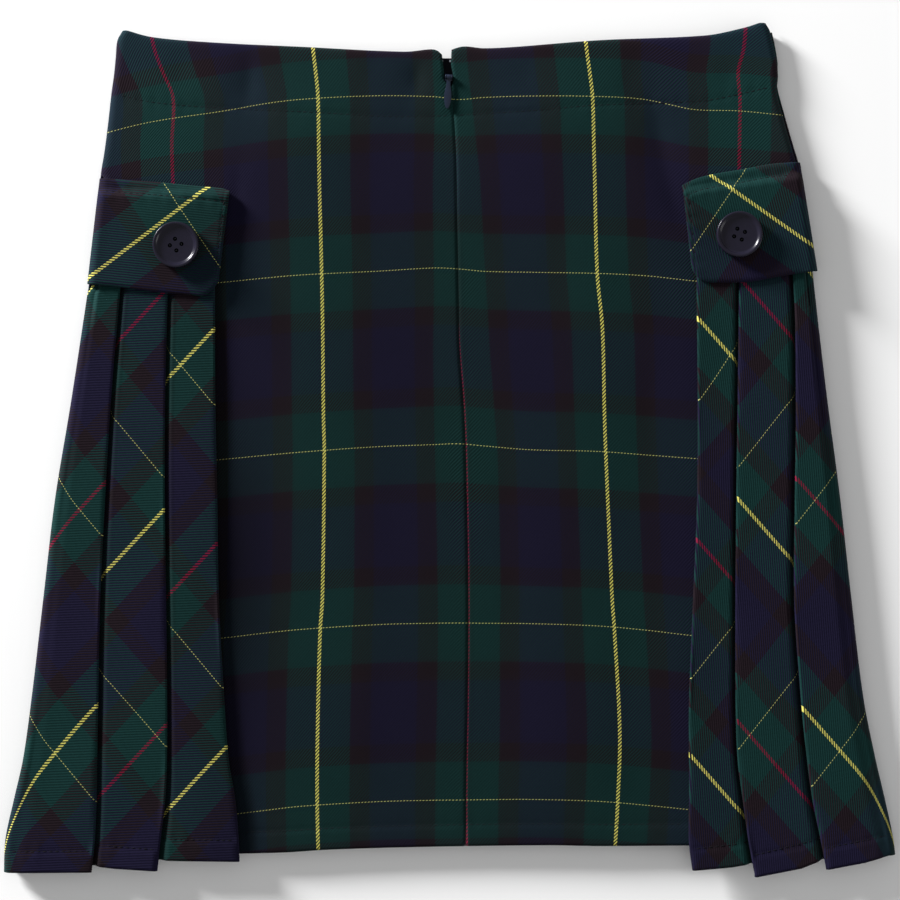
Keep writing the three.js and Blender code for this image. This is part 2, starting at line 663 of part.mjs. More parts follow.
// The pull tab: a flat drop with an eye round the slider's pin, lying on the cloth
function zipPull() {
  const { eye, bore, thickness, neck, width, length } = PULL;
  const flatBottom = BACK + CLOTH / 2 + PULL.lift - ZIP.pinHeight;
  const neckStart = -bore - 0.15;
  const neckEnd = -3.4;
  const widest = -9.6;
  // Lengths of the curve's handles below the neck, above and below the widest place, and at the tip
  const [afterNeck, beforeWidest, afterWidest, atTip] = [2, 3, 2.6, 1.1];
  const drop = new THREE.Shape();
  drop.moveTo(neck / 2, neckStart);
  drop.lineTo(neck / 2, neckEnd);
  drop.bezierCurveTo(neck / 2, neckEnd - afterNeck, width / 2, widest + beforeWidest, width / 2, widest);
  drop.bezierCurveTo(width / 2, widest - afterWidest, atTip, -length, 0, -length);
  drop.bezierCurveTo(-atTip, -length, -width / 2, widest - afterWidest, -width / 2, widest);
  drop.bezierCurveTo(-width / 2, widest + beforeWidest, -neck / 2, neckEnd - afterNeck, -neck / 2, neckEnd);
  drop.lineTo(-neck / 2, neckStart);
  const plate = new THREE.ExtrudeGeometry(drop, { depth: thickness, bevelEnabled: false, curveSegments: 6 });
  plate.translate(0, 0, flatBottom);
  const ring = new THREE.CylinderGeometry(eye, eye, neck, 20).rotateZ(Math.PI / 2);
  const hole = new THREE.CylinderGeometry(bore, bore, 2 * neck, 16).rotateZ(Math.PI / 2);
  return toGeometry(toSolid(plate).add(toSolid(ring)).subtract(toSolid(hole)));
}

const left = makeHalf("left");
const right = makeHalf("right");
const skort = new THREE.Group();
skort.position.set(-MIDDLE.x, -MIDDLE.y, 0);

function addPiece(name, geometry, cloth, parent = skort) {
  const mesh = new THREE.Mesh(geometry, cloth);
  mesh.name = name;
  parent.add(mesh);
  return mesh;
}

addPiece("front_panel", frontPanel(), TARTAN);
for (const half of [left, right]) {
  const { name } = half;
  addPiece("shorts_front_" + name, shortsPanel(half, SHORTS_FRONT), SHORTS_CLOTH);
  addPiece("shorts_back_" + name, shortsPanel(half, SHORTS_BACK), SHORTS_CLOTH);
  addPiece("back_" + name, backPanel(half), TARTAN);
  addPiece("pleats_" + name, pleatInsert(half), TARTAN);
  addPiece("tab_" + name, tab(half), TARTAN);
  const { x, y, turn } = BUTTONS[name];
  const sewn = addPiece("button_" + name, button(), BUTTON_PLASTIC);
  sewn.position.set(x, y, tabHeight(half, Math.abs(x), y) + DOUBLE_CLOTH / 2 + SEAM);
  sewn.rotation.z = radians(turn);
}

addPiece("zip_tape", zipTape(), TAPE_CLOTH);
const zip = new THREE.Group();
zip.position.set(ZIP.x, ZIP.y, 0);
zip.rotation.z = radians(ZIP.turn);
skort.add(zip);
addPiece("zip_slider", zipSlider(), ENAMEL, zip);
addPiece("zip_pull", zipPull(), ENAMEL, zip).position.z = ZIP.pinHeight;

export default skort;
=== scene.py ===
# A girl's pleated tartan skort laid flat with its back upwards.
# Tables and sizes are in millimetres, as cut and sewn; meshes are in metres.
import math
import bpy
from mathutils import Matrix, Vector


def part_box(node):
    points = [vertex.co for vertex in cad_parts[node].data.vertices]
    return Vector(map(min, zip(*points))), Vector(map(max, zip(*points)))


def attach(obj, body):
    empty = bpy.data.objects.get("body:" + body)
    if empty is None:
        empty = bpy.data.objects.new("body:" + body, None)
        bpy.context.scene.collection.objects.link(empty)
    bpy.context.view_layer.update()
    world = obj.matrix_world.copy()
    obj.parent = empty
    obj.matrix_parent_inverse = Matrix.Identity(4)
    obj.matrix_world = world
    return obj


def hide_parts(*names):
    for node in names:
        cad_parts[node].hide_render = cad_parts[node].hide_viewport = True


bl_info = {
    "name": "Pleated tartan skort",
    "version": (1, 0, 0),
    "blender": (4, 5, 0),
    "location": "3D View > Sidebar > Skort",
    "description": "Makes a tartan skort with bias pleats, buttoned tabs and a centre back zip",
    "category": "Object",
}

import bmesh
import bpy
import numpy as np
from bpy.props import FloatProperty, FloatVectorProperty, PointerProperty
from mathutils import Matrix, Vector
from mathutils.bvhtree import BVHTree

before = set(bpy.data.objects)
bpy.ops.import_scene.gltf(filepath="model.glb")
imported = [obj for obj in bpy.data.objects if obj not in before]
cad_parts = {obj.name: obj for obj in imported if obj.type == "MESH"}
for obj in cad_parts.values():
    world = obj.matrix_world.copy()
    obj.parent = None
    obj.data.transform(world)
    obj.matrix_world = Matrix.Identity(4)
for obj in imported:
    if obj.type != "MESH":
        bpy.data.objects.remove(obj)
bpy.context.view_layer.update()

MM = 0.001
SKORT = "skort"
PULL_TAB = "pull_tab"
SIDES = ("left", "right")

# Sizes of the cloth and its layers
CLOTH = 1.0
DOUBLE_CLOTH = 1.5
SEAM = 0.3
PLEAT_STEP = 1.4
PLEAT_DEPTH = 29
CUT_PLEAT_DEPTH = 29.5
PLEAT_COUNT = 3
# How quickly the cloth rises from the side seam, and from under a neighbouring fold
SIDE_RISE = 1.8
FOLD_RISE = 3.0
# How much of the pleats' height the cloth already has beside the side seam, below the tab
SIDE_LIFT = {"left": 0.85, "right": 0.55}
SIDE_BEND = 3.5
TAB_BEND = 4
TAB_CLEARANCE = 1.9
# The tab's step down from the pleats: how far above the seam it starts, and over what height it goes
TAB_STEP = (1.5, 5.5)
DRAWN_BELOW = (1.5, 5.0)
DRAWN_ABOVE = (0.8, 2.8)
SEAM_HEIGHT = 3.0
HEM_DEPTH = 10.6
FACING_DEPTH = 32.5
TAB_STITCH = 6.5
TAPE_WIDTH = 20
TAPE_LENGTH = 165
TAPE_TOP = 195.9
MIDDLE_X = -0.44
MIDDLE_Y = 0.05

# Levels at which an edge column is read: near the waist, at the yoke seam and near the hem
WAIST_LEVEL = 205.0
YOKE_LEVEL = 130.0
HEM_LEVEL = -200.0
# Cloth under a pleat as a share of the pleat's width, and what is kept free of it
HIDDEN_SHARE = {"first": 0.6, "other": 0.72}
HIDDEN_GAP = 2.5
# The front panel: how far its pattern is moved up and its waist lies below the back's, and its
# hem from the middle to each side
FRONT_PATTERN = 8
UNDER_WAIST = 1
WAIST_DROP = 7
FRONT_HEM = -195.5
FRONT_HEM_DROP = {"left": -13, "right": -5}
FRONT_WIDEST = 222
# The shorts: their top and bottom, how deep their hem is, and how their top follows the skirt's waist
SHORTS_TOP = 190
SHORTS_BOTTOM = -112
SHORTS_HEM_DEPTH = 19
LOWEST_WAIST = 198.9
WAIST_SHARE = 0.6
# Thickness of the finished shells, a little under that of the layers
SKIRT_SHELL = 0.9 * CLOTH
TAB_SHELL = 0.93 * DOUBLE_CLOTH
SHORTS_SHELL = 0.8 * CLOTH
TAPE_SHELL = 0.4


def layer_height(count):
    """Height of a flat layer's middle above the surface."""
    return CLOTH / 2 + count * (CLOTH + SEAM)


FRONT = layer_height(0)
SHORTS_FRONT = layer_height(1)
SHORTS_BACK = layer_height(2)
TAPE = layer_height(3)
BACK = layer_height(4)


def rows(columns, *values):
    """A table with named columns, one row for each tuple of values."""
    names = columns.split()
    return [dict(zip(names, row)) for row in values]


# x of the garment's outline on each side, from the waist to the hem
SIDE_EDGES = rows(
    "y left right",
    (213.3, -163.0, 158.0),
    (209.5, -164.5, 160.2),
    (205, -167.0, 161.3),
    (196, -167.9, 163.2),
    (188, -168.7, 164.2),
    (178.5, -170.0, 163.8),
    (165, -171.5, 167.2),
    (150, -173.4, 171.4),
    (137, -175.5, 175.2),
    (127, -176.3, 177.0),
    (105, -178.9, 179.9),
    (80, -181.8, 182.2),
    (25, -190.0, 188.6),
    (-25, -198.2, 195.2),
    (-75, -204.1, 200.9),
    (-125, -210.0, 207.0),
    (-155, -214.2, 213.0),
    (-175, -218.7, 217.7),
    (-195, -223.0, 221.9),
    (-212, -223.8, 223.8),
)

# Fold edges of the pleats, out from x = 0; pleat 1 is the outermost and lies on top
FOLDS = rows(
    "y left1 left2 left3 right1 right2 right3",
    (130, 160.8, 139.9, 117.7, 165.5, 144.5, 122.4),
    (80, 164.7, 141.0, 117.5, 171.2, 143.9, 122.8),
    (25, 169.3, 142.3, 117.3, 172.3, 143.2, 123.3),
    (-25, 172.3, 142.5, 116.3, 171.8, 142.5, 123.0),
    (-75, 174.7, 141.8, 115.5, 171.5, 142.1, 121.0),
    (-125, 175.7, 141.3, 112.8, 174.8, 142.2, 119.0),
    (-155, 176.2, 141.4, 110.6, 177.9, 143.2, 119.0),
    (-175, 176.5, 142.3, 107.3, 180.6, 145.8, 119.0),
    (-195, 177.4, 144.6, 105.6, 184.7, 148.6, 118.9),
    (-212, 179.2, 146.4, 105.0, 187.9, 151.7, 120.9),
)

# Hem heights of each insert: where pleat n comes out from under its neighbour, and at its fold
PLEAT_HEMS = {
    "left": dict(start1=-211.2, fold1=-211.0, start2=-207.8, fold2=-210.3, start3=-204.9, fold3=-205.6),
    "right": dict(start1=-202.7, fold1=-209.5, start2=-204.5, fold2=-213.3, start3=-206.7, fold3=-210.0),
}

CENTRE_SEAM = rows(
    "y x",
    (180, 0.8),
    (148, 2.7),
    (120, 3.2),
    (75, 4.0),
    (51, 4.5),
    (17, 6.9),
    (-21, 8.1),
    (-75, 8.9),
    (-123, 8.6),
    (-171, 7.8),
    (-198, 7.8),
)
ZIP_OPENING = rows(
    "y left right",
    (200, -4.6, 0.6),
    (192.3, -3.8, 0.5),
    (187.6, -3.2, 1.35),
    (184.2, -3.15, 1.35),
    (182.1, 0.55, 0.85),
)
WAIST = rows(
    "x y",
    (-164.5, 209.5),
    (-148.8, 206.1),
    (-122, 203.7),
    (-75, 201.3),
    (-23.6, 198.9),
    (-9.3, 200.1),
    (-6.4, 199.3),
    (-4.5, 197.4),
    (0.7, 199.9),
    (6.6, 201.5),
    (16.6, 200.6),
    (32.8, 201.3),
    (74.8, 204.6),
    (127.3, 207.0),
    (145.6, 210.4),
    (158, 213.3),
)
PANEL_HEM = rows(
    "x y",
    (-120, -202.2),
    (-84, -201.4),
    (-60, -199.9),
    (-15, -198.6),
    (49, -197.7),
    (75, -198.1),
    (132, -197.8),
)
YOKE_SEAM = {"left": dict(out=120, y=124, slope=0), "right": dict(out=120, y=125, slope=0.14)}

TAB_EDGES = {
    "left": rows(
        "top_out top bottom_out bottom",
        (110.3, 128.6, 115.4, 86.8),
        (114.0, 129.9, 117.0, 82.0),
        (119.0, 130.6, 122.8, 77.0),
        (131.0, 131.8, 131.0, 77.4),
        (144.5, 133.1, 143.5, 78.3),
        (160.0, 134.3, 162.0, 80.7),
        (175.9, 135.6, 182.0, 82.9),
    ),
    "right": rows(
        "top_out top bottom_out bottom",
        (115.9, 131.9, 120.2, 92.0),
        (119.5, 133.7, 122.0, 87.7),
        (125.0, 135.8, 126.5, 83.9),
        (134.0, 137.8, 137.0, 83.4),
        (146.0, 139.8, 150.0, 83.9),
        (160.0, 142.4, 164.0, 86.4),
        (175.3, 143.6, 183.9, 89.5),
    ),
}

# The shorts, one row for each level: inner and outer edge of each leg, out from x = 0
SHORTS = rows(
    "y inner outer",
    (190, 0, 152),
    (120, 0, 164),
    (40, 0, 172),
    (-28, 0, 175),
    (-44, 5, 176),
    (-112, 14, 179),
)

# Soft troughs (depth above 0) and swells (below 0) that run through all layers of the back
CREASES = rows(
    "x y length width turn depth",
    (106, 147, 80, 22, 15, 1.0),
    (-102, 181, 34, 20, 0, 0.8),
    (-18, 185, 20, 14, 0, 0.6),
    (-60, 40, 240, 70, 3, -1.2),
    (66, 30, 260, 76, -4, -1.2),
    (-52, -130, 110, 60, -8, -0.9),
    (60, -150, 90, 70, 6, -1.0),
    (-70, 160, 50, 60, 40, -0.8),
    (52, 165, 60, 60, -30, -0.9),
)
# Finer creases of the cloth's own surface
FINE_CREASES = rows(
    "x y length width turn depth",
    (-101, 184, 22, 7, 0, 0.45),
    (-107, 122, 44, 7, -3, 0.5),
    (-17, 185, 14, 6, 0, 0.5),
    (104, 160, 40, 9, 10, 0.5),
    (112, 124, 34, 9, 18, 0.45),
    (-40, 190, 16, 9, -6, 0.2),
    (38, 188, 18, 10, 8, 0.2),
    (90, 186, 20, 10, -5, 0.25),
    (-135, 190, 18, 12, 8, 0.25),
    (140, 188, 18, 12, -8, 0.3),
    (30, -60, 150, 16, 2, 0.25),
    (-30, -90, 170, 18, -2, 0.22),
    (88, -120, 120, 16, 3, 0.25),
    (-90, -40, 150, 16, -2, 0.22),
    (55, 90, 90, 18, -6, 0.2),
    (-38, 110, 80, 18, 5, 0.2),
    (100, 20, 70, 14, 0, 0.22),
)

# The tartan as woven: stripe widths in order, and where its lines run on the back
WARP_STRIPES = (
    ("navy", 11.2), ("black", 10.05), ("green", 15.2), ("yellow", 1.6), ("green", 15.2),
    ("black", 10.05), ("navy", 22.4), ("black", 10.05), ("green", 14.9), ("red", 2.2),
    ("green", 14.9), ("black", 10.05), ("navy", 11.2),
)
WEFT_STRIPES = (
    ("navy", 15.65), ("black", 9.5), ("green", 18.7), ("thin", 0.6),
    ("green", 18.7), ("black", 9.5), ("navy", 15.65),
)
WARP_HALF = 74.5
WEFT_REPEAT = 88.3
WARP_LINES = rows(
    "y left_red left_yellow right_yellow right_red left_centre right_centre",
    (213, -151, -70, 66.5, 147.5, 68.4, 65.3),
    (200, -148.3, -69.0, 67.7, 146.2, 68.4, 65.3),
    (189, -144.3, -67.7, 69.2, 143.6, 68.4, 66.0),
    (176, -139.0, -66.5, 70.7, 144.4, 67.9, 67.3),
    (153, -139.6, -66.1, 71.3, 144.2, 69.7, 68.6),
    (134, -139.1, -65.8, 71.8, 144.1, 71.0, 70.3),
    (88, -138.0, -64.6, 73.0, 146.5, 71.5, 72.5),
    (60, -137.7, -64.1, 75.6, 149.1, 72.3, 73.6),
    (17, -137.2, -63.7, 76.6, 150.2, 74.8, 74.5),
    (-1, -136.9, -63.3, 77.2, 150.8, 75.1, 75.4),
    (-75, -137.8, -64.3, 80.5, 154.1, 74.3, 75.2),
    (-90, -138.9, -65.4, 81.6, 155.2, 73.9, 74.3),
    (-142, -140.3, -66.7, 84.3, 157.9, 74.0, 74.1),
    (-178, -140.5, -66.9, 83.2, 156.8, 74.1, 74.1),
    (-200, -140.0, -66.4, 81.9, 155.5, 74.3, 74.3),
)
# The centre seam takes up the red line but for a thread's width, and lets it out at the hem
SEAM_SHOWS = rows(
    "y left right",
    (0, 73.4, 74.1),
    (-183, 73.4, 74.1),
    (-192, 74.5, 75.2),
)
SEAM_PULL = 6.0
WEFT_LINES = rows(
    "x w0 w1 w2 w3 w4",
    (-172, 158.2, 78.0, -9.0, -98.0, -188.0),
    (-155, 162.5, 79.7, -8.0, -97.0, -186.5),
    (-139, 165.4, 81.3, -6.9, -95.8, -185.0),
    (-115, 168.8, 83.3, -5.2, -94.5, -183.2),
    (-96, 172.2, 85.2, -3.4, -92.3, -181.0),
    (-75, 174.7, 87.0, -1.5, -90.1, -178.5),
    (-37, 176.6, 88.9, 1.2, -87.7, -176.2),
    (-8, 176.2, 90.6, 2.3, -87.0, -175.5),
    (4, 174.8, 90.1, 2.7, -86.9, -175.4),
    (17, 175.8, 88.9, 1.6, -87.0, -175.2),
    (40, 176.4, 88.4, -0.3, -87.2, -175.0),
    (73, 176.2, 87.8, -1.1, -88.3, -175.9),
    (98, 174.8, 86.6, -2.9, -90.5, -178.0),
    (121, 169.9, 84.2, -4.6, -93.2, -180.4),
    (144, 169.1, 82.5, -6.0, -95.0, -183.0),
    (167, 166.9, 81.0, -7.5, -97.0, -185.0),
)
# Bias-cut pieces: slope of the warp and of the weft to the horizontal, and where two yellow lines cross
BIAS = {
    "pleats_left": dict(warp=47.0, weft=50.0, shift_u=190.5, shift_v=74.0),
    "pleats_right": dict(warp=48.8, weft=52.0, shift_u=196.8, shift_v=73.5),
    "tab_left": dict(warp=37.4, weft=56.0, cross_out=135.0, cross_y=120.35),
    "tab_right": dict(warp=35.0, weft=56.0, cross_out=140.35, cross_y=129.1),
}
# Where the pattern of one pleat is drawn off the plain bias: near y, by u and v, changing with height
PLEAT_DRAW = rows(
    "side pleat y reach u u_change v v_change",
    ("left", 1, -152, 35, 0.0, 0.077, 0.0, 0.0),
    ("left", 2, -150, 45, 0.0, 0.0, -2.1, 0.0),
    ("left", 3, -160, 40, 1.4, 0.0, 0.0, 0.0),
    ("right", 3, 37, 40, 0.0, 0.0, 3.7, -0.095),
)
# Round the side edges the pattern runs faster, most of all near the hem: extra length at the edge
EDGE_CURL = rows(
    "y left right",
    (100, 4, 0),
    (-140, 4, 2),
    (-165, 8.5, 6),
    (-200, 23, 16),
)
CURL_REACH = 13.0
# Width of the painted shade beside a fold's foot, where the fold's shadow falls
FOLD_PAINTED_SHADE = {"left": 3.0, "right": 1.2}
# Depth and width of the painted shade beside the centre seam
SEAM_PAINTED_SHADE = {"left": (0.5, 1.3), "right": (0.95, 1.5)}
# How strongly a fold's painted shade darkens the pleat below it and the panel beside it
PLEAT_PAINTED_SHADE = 0.7
PANEL_PAINTED_SHADE = 0.85

BUTTONS = {"left": dict(x=-136.4, y=101.7, turn=7), "right": dict(x=143.5, y=106.9, turn=22)}
HOLE_DISTANCE = 2.9
HOLE_RADIUS = 1.05
HOLE_COUNT = 4
# Rings set in from a button's edge, each by its width and its step up: the rim, the dish and the back
BUTTON_FACE = ((1.3, 0), (0.7, -0.75), (0.5, -0.45), (4.6, -0.12))
BUTTON_UNDERSIDE = ((1.6, 0), (1.0, 0.25))
# A stitch from end to end: how far along, its share of the thread's radius, and its height
STITCH_PROFILE = ((0, 0.35, -0.22), (0.14, 0.9, 0.0), (0.5, 1.0, 0.08), (0.86, 0.9, 0.0), (1, 0.35, -0.22))
# The zip's teeth below the slider, and the two stops above it
TEETH = dict(top=180.0, bottom=36.0, pitch=1.25, size=(3.6, 0.8, 0.3))
TOP_STOPS = dict(x=(-4.2, -0.1), y=194.4, size=(0.9, 1.1, 0.6))
# Stitches: length, gap, radius of the thread, and how far it sinks into the cloth
STITCH_LENGTH = 2.5
STITCH_GAP = 0.55
THREAD_RADIUS = 0.24
STITCH_SINK = 0.08
# Edges sharper than this many degrees are rounded
SHARP_EDGE = 40

# Where the light comes from, and the camera's middle, in metres
KEY_DIRECTION = (-1.0, 0.80, 0.29)
FILL_DIRECTION = (1.0, -0.25, 0.2)
CAMERA_X = 0.0002
CAMERA_Y = -0.0003
FLOOR_SIZE = 6


def smooth(t):
    t = np.clip(t, 0, 1)
    return t * t * (3 - 2 * t)


def lerp(a, b, t):
    return a + (b - a) * t


def read(table, at, column, key="y"):
    """One column of a table at places between its rows, on a smooth curve."""
    ordered = sorted(table, key=lambda row: row[key])
    xs = np.array([row[key] for row in ordered], float)
    ys = np.array([row[column] for row in ordered], float)
    at = np.clip(np.asarray(at, float), xs[0], xs[-1])
    slopes = np.gradient(ys)
    slopes[1:-1] = (ys[2:] - ys[:-2]) / (xs[2:] - xs[:-2])
    slopes[0] = (ys[1] - ys[0]) / (xs[1] - xs[0])
    slopes[-1] = (ys[-1] - ys[-2]) / (xs[-1] - xs[-2])
    i = np.clip(np.searchsorted(xs, at, side="right") - 1, 0, len(xs) - 2)
    span = xs[i + 1] - xs[i]
    t = (at - xs[i]) / span
    t2, t3 = t * t, t * t * t
    start = (2 * t3 - 3 * t2 + 1) * ys[i] + (t3 - 2 * t2 + t) * span * slopes[i]
    return start + (3 * t2 - 2 * t3) * ys[i + 1] + (t3 - t2) * span * slopes[i + 1]


def swell(x, y, creases=CREASES):
    """How far the cloth lies above or below its flat height."""
    height = np.zeros_like(np.asarray(x, float))
    for crease in creases:
        turn = math.radians(crease["turn"])
        dx, dy = x - crease["x"], y - crease["y"]
        across = (dx * math.cos(turn) + dy * math.sin(turn)) / (crease["width"] / 2)
        along = (dy * math.cos(turn) - dx * math.sin(turn)) / (crease["length"] / 2)
        height = height - crease["depth"] * np.exp(-across * across - along * along)
    return height


class Half:
    """One side of the garment; out is the distance from x = 0 towards that side."""

    def __init__(self, name):
        self.name = name
        self.sign = -1 if name == "left" else 1
        self.tab = TAB_EDGES[name]
        self.hems = PLEAT_HEMS[name]

    def edge(self, y):
        return self.sign * read(SIDE_EDGES, y, self.name)

    def back_edge(self, y):
        """The side edge of the back, which draws in a little where the tab's end goes over it."""
        end = self.tab[-1]
        below = smooth((y - end["bottom"] + DRAWN_BELOW[1]) / (DRAWN_BELOW[1] - DRAWN_BELOW[0]))
        above = 1 - smooth((y - end["top"] - DRAWN_ABOVE[0]) / (DRAWN_ABOVE[1] - DRAWN_ABOVE[0]))
        down = np.clip((end["top"] - y) / (end["top"] - end["bottom"]), 0, 1)
        stands_out = lerp(end["top_out"], end["bottom_out"], down) - self.edge(y)
        return self.edge(y) - np.maximum(0, TAB_CLEARANCE - stands_out) * below * above

    def yoke_seam(self, out):
        seam = YOKE_SEAM[self.name]
        return seam["y"] + seam["slope"] * np.maximum(0, np.asarray(out, float) - seam["out"])

    def fold(self, n, y):
        return read(FOLDS, y, f"{self.name}{n}")

    def pleat_depth(self, n, y):
        start = self.back_edge(y) if n == 1 else self.fold(n - 1, y)
        share = HIDDEN_SHARE["first" if n == 1 else "other"]
        return np.minimum(PLEAT_DEPTH, share * (start - self.fold(n, y)) - HIDDEN_GAP)

    def panel_seam(self, y):
        level = np.minimum(y, float(self.yoke_seam(0)))
        return self.fold(PLEAT_COUNT, level) + self.pleat_depth(PLEAT_COUNT, level)

    def centre_edge(self, y):
        y = np.asarray(y, float)
        opening = read(ZIP_OPENING, y, self.name)
        sewn = read(CENTRE_SEAM, y, "x") + self.sign * SEAM / 2
        return np.where(y > ZIP_OPENING[-1]["y"], opening, sewn)

    def tab_height(self, out, y):
        """Middle of the tab, which lies on the yoke and steps up onto the pleats."""
        start, length = TAB_STEP
        on_pleats = 1 - smooth((y - self.yoke_seam(out) - start) / length)
        beneath = BACK + CLOTH / 2 + on_pleats * 2 * PLEAT_STEP
        return beneath + SEAM + DOUBLE_CLOTH / 2


HALVES = {name: Half(name) for name in SIDES}


def side_bend(edge, flat_height, seam_height, t):
    """Out and height on the bend from the side seam (t = 0) to the flat part (t = 1)."""
    angle = t * math.pi / 2
    out = edge - CLOTH / 2 - SIDE_BEND * (1 - math.cos(angle))
    return out, lerp(seam_height, flat_height, math.sin(angle))


def straight_pattern(side, x, y):
    """Cloth coordinates on a straight-cut half, from the tartan's own lines."""
    sign = HALVES[side].sign
    lines = ("yellow", "red", "centre")
    yellow, red, centre = (read(WARP_LINES, y, f"{side}_{line}") for line in lines)
    seam = read(CENTRE_SEAM, y, "x")
    inward = (yellow - x) * sign
    to_seam = (yellow - seam) * sign
    to_red = (red - yellow) * sign
    hidden = np.maximum(0, centre - read(SEAM_SHOWS, y, side))
    pull = hidden * np.exp(-(((x - seam) / SEAM_PULL) ** 2))
    u = -sign * np.where(inward > 0, inward / to_seam * centre - pull, inward / to_red * WARP_HALF)
    levels = np.stack([read(WEFT_LINES, x, f"w{n}", "x") for n in range(5)])
    v = np.zeros_like(x)
    for n in range(4):
        upper, lower = levels[n], levels[n + 1]
        inside = (y <= upper) | (n == 0)
        v = np.where(inside, -WEFT_REPEAT * (n + (upper - y) / (upper - lower)), v)
    return np.stack([u, v], axis=-1)


def bias_pattern(piece, sign, out, y):
    """Cloth coordinates on a bias-cut piece. The twill isn't mirrored on the right."""
    cut = BIAS[piece]
    warp, weft = math.radians(cut["warp"]), math.radians(cut["weft"])
    if "cross_out" in cut:
        out, y = out - cut["cross_out"], y - cut["cross_y"]
    spread = math.sin(warp + weft)
    u = -(out * math.sin(warp) + y * math.cos(warp)) / spread + cut.get("shift_u", 0)
    v = (-out * math.sin(weft) + y * math.cos(weft)) / spread + cut.get("shift_v", 0)
    return np.stack([-sign * u, v], axis=-1)


def pleat_draw(half, pleat, y):
    """How far a pleat's pattern is drawn off the plain bias at each height."""
    shift = np.zeros((*np.shape(y), 2))
    for row in PLEAT_DRAW:
        if (row["side"], row["pleat"]) == (half.name, pleat):
            near = np.exp(-(((y - row["y"]) / row["reach"]) ** 2))
            shift[..., 0] -= half.sign * near * (row["u"] + row["u_change"] * (y - row["y"]))
            shift[..., 1] += near * (row["v"] + row["v_change"] * (y - row["y"]))
    return shift


def place(points):
    """From the tables' millimetres to the frame's metres."""
    return (np.asarray(points, float) - np.array([MIDDLE_X, MIDDLE_Y, 0])) * MM


def add_object(name, data):
    """A new object in the scene for a mesh, light or camera."""
    piece = bpy.data.objects.new(name, data)
    bpy.context.scene.collection.objects.link(piece)
    return piece


def spaced(*stretches):
    """Rising places in one row, from stretches of start, end and count that share their ends."""
    return np.concatenate([np.linspace(*stretch)[min(n, 1):] for n, stretch in enumerate(stretches)])


def in_order(turned, *grids):
    """Grids whose columns run from left to right; turned says that they ran the other way."""
    return [grid[:, ::-1] if turned else grid for grid in grids]


def cloth_mesh(name, points, pattern, thickness, active=None, shelter=None):
    """A closed shell with a rounded rim about a grid of points on the cloth's middle.
    Rows run from the waist to the hem, and columns from left to right on the upper side.
    Painted shade is 1 where a fold or seam would shade the cloth, and 0 elsewhere; it darkens the colour."""
    points = place(points)
    half = thickness * MM / 2
    count_r, count_c = points.shape[:2]
    down = np.empty_like(points)
    down[1:-1] = points[2:] - points[:-2]
    down[0], down[-1] = points[1] - points[0], points[-1] - points[-2]
    across = np.empty_like(points)
    across[:, 1:-1] = points[:, 2:] - points[:, :-2]
    across[:, 0], across[:, -1] = points[:, 1] - points[:, 0], points[:, -1] - points[:, -2]
    normal = np.cross(down, across)
    normal /= np.linalg.norm(normal, axis=-1, keepdims=True)
    if active is None:
        active = np.ones((count_r - 1, count_c - 1), bool)
    index = np.arange(count_r * count_c).reshape(count_r, count_c)
    total = count_r * count_c
    corner = [index[:-1, :-1], index[1:, :-1], index[1:, 1:], index[:-1, 1:]]
    quads = np.stack([c[active] for c in corner], axis=-1)
    faces = [quads, quads[:, ::-1] + total]
    padded = np.zeros((count_r + 1, count_c + 1), bool)
    padded[1:-1, 1:-1] = active
    outside = [~padded[1:-1, :-2], ~padded[2:, 1:-1], ~padded[1:-1, 2:], ~padded[:-2, 1:-1]]
    starts, ends = [], []
    for n in range(4):
        rim = active & outside[n]
        starts.append(corner[n][rim])
        ends.append(corner[(n + 1) % 4][rim])
    p, q = np.concatenate(starts), np.concatenate(ends)
    flat_points, flat_normals = points.reshape(-1, 3), normal.reshape(-1, 3)
    direction = flat_points[q] - flat_points[p]
    outward = np.cross(direction, flat_normals[p])
    outward /= np.linalg.norm(outward, axis=-1, keepdims=True)
    rim_out = np.zeros_like(flat_points)
    np.add.at(rim_out, p, outward)
    np.add.at(rim_out, q, outward)
    length = np.linalg.norm(rim_out, axis=-1, keepdims=True)
    rim_out = np.divide(rim_out, length, out=np.zeros_like(rim_out), where=length > 0)
    upper = flat_points + half * flat_normals
    lower = flat_points - half * flat_normals
    middle = flat_points + 0.3 * half * rim_out
    faces.append(np.stack([q, p, p + 2 * total, q + 2 * total], axis=-1))
    faces.append(np.stack([q + 2 * total, p + 2 * total, p + total, q + total], axis=-1))
    quads = np.concatenate(faces)
    used, quads = np.unique(quads, return_inverse=True)
    quads = quads.reshape(-1, 4)
    coordinates = np.concatenate([upper, lower, middle])[used]
    cloth = np.concatenate([np.asarray(pattern, float).reshape(-1, 2) * MM] * 3)[used]
    mesh = bpy.data.meshes.new(name)
    mesh.from_pydata(coordinates.tolist(), [], quads.tolist())
    layer = mesh.uv_layers.new(name="cloth")
    layer.data.foreach_set("uv", cloth[quads.ravel()].ravel())
    # Painted shade, kept on the mesh for the material to darken the colour
    if shelter is not None:
        painted_shade_layer = mesh.attributes.new("shelter", "FLOAT", "POINT")
        painted_shade_layer.data.foreach_set("value", np.tile(np.ravel(shelter), 3)[used].astype(np.float32))
    mesh.shade_smooth()
    return add_object(name, mesh)


def hem_relief(above_hem, run):
    """A turned-up hem: a slightly thicker band below its line of stitches, which sinks in."""
    band = 0.22 * (1 - smooth((above_hem - HEM_DEPTH + 0.8) / 1.6))
    return band + stitch_relief(above_hem - HEM_DEPTH, run)


def stitch_relief(distance, run, depth=0.35):
    """The groove along a line of stitches, with small puckers beside it."""
    groove = -depth * np.exp(-((distance / 0.9) ** 2))
    pucker = 0.09 * np.sin(run * 2 * math.pi / 7.3) + 0.05 * np.sin(run * 2 * math.pi / 17.1 + 1.3)
    return groove + pucker * np.exp(-((distance / 4.5) ** 2))


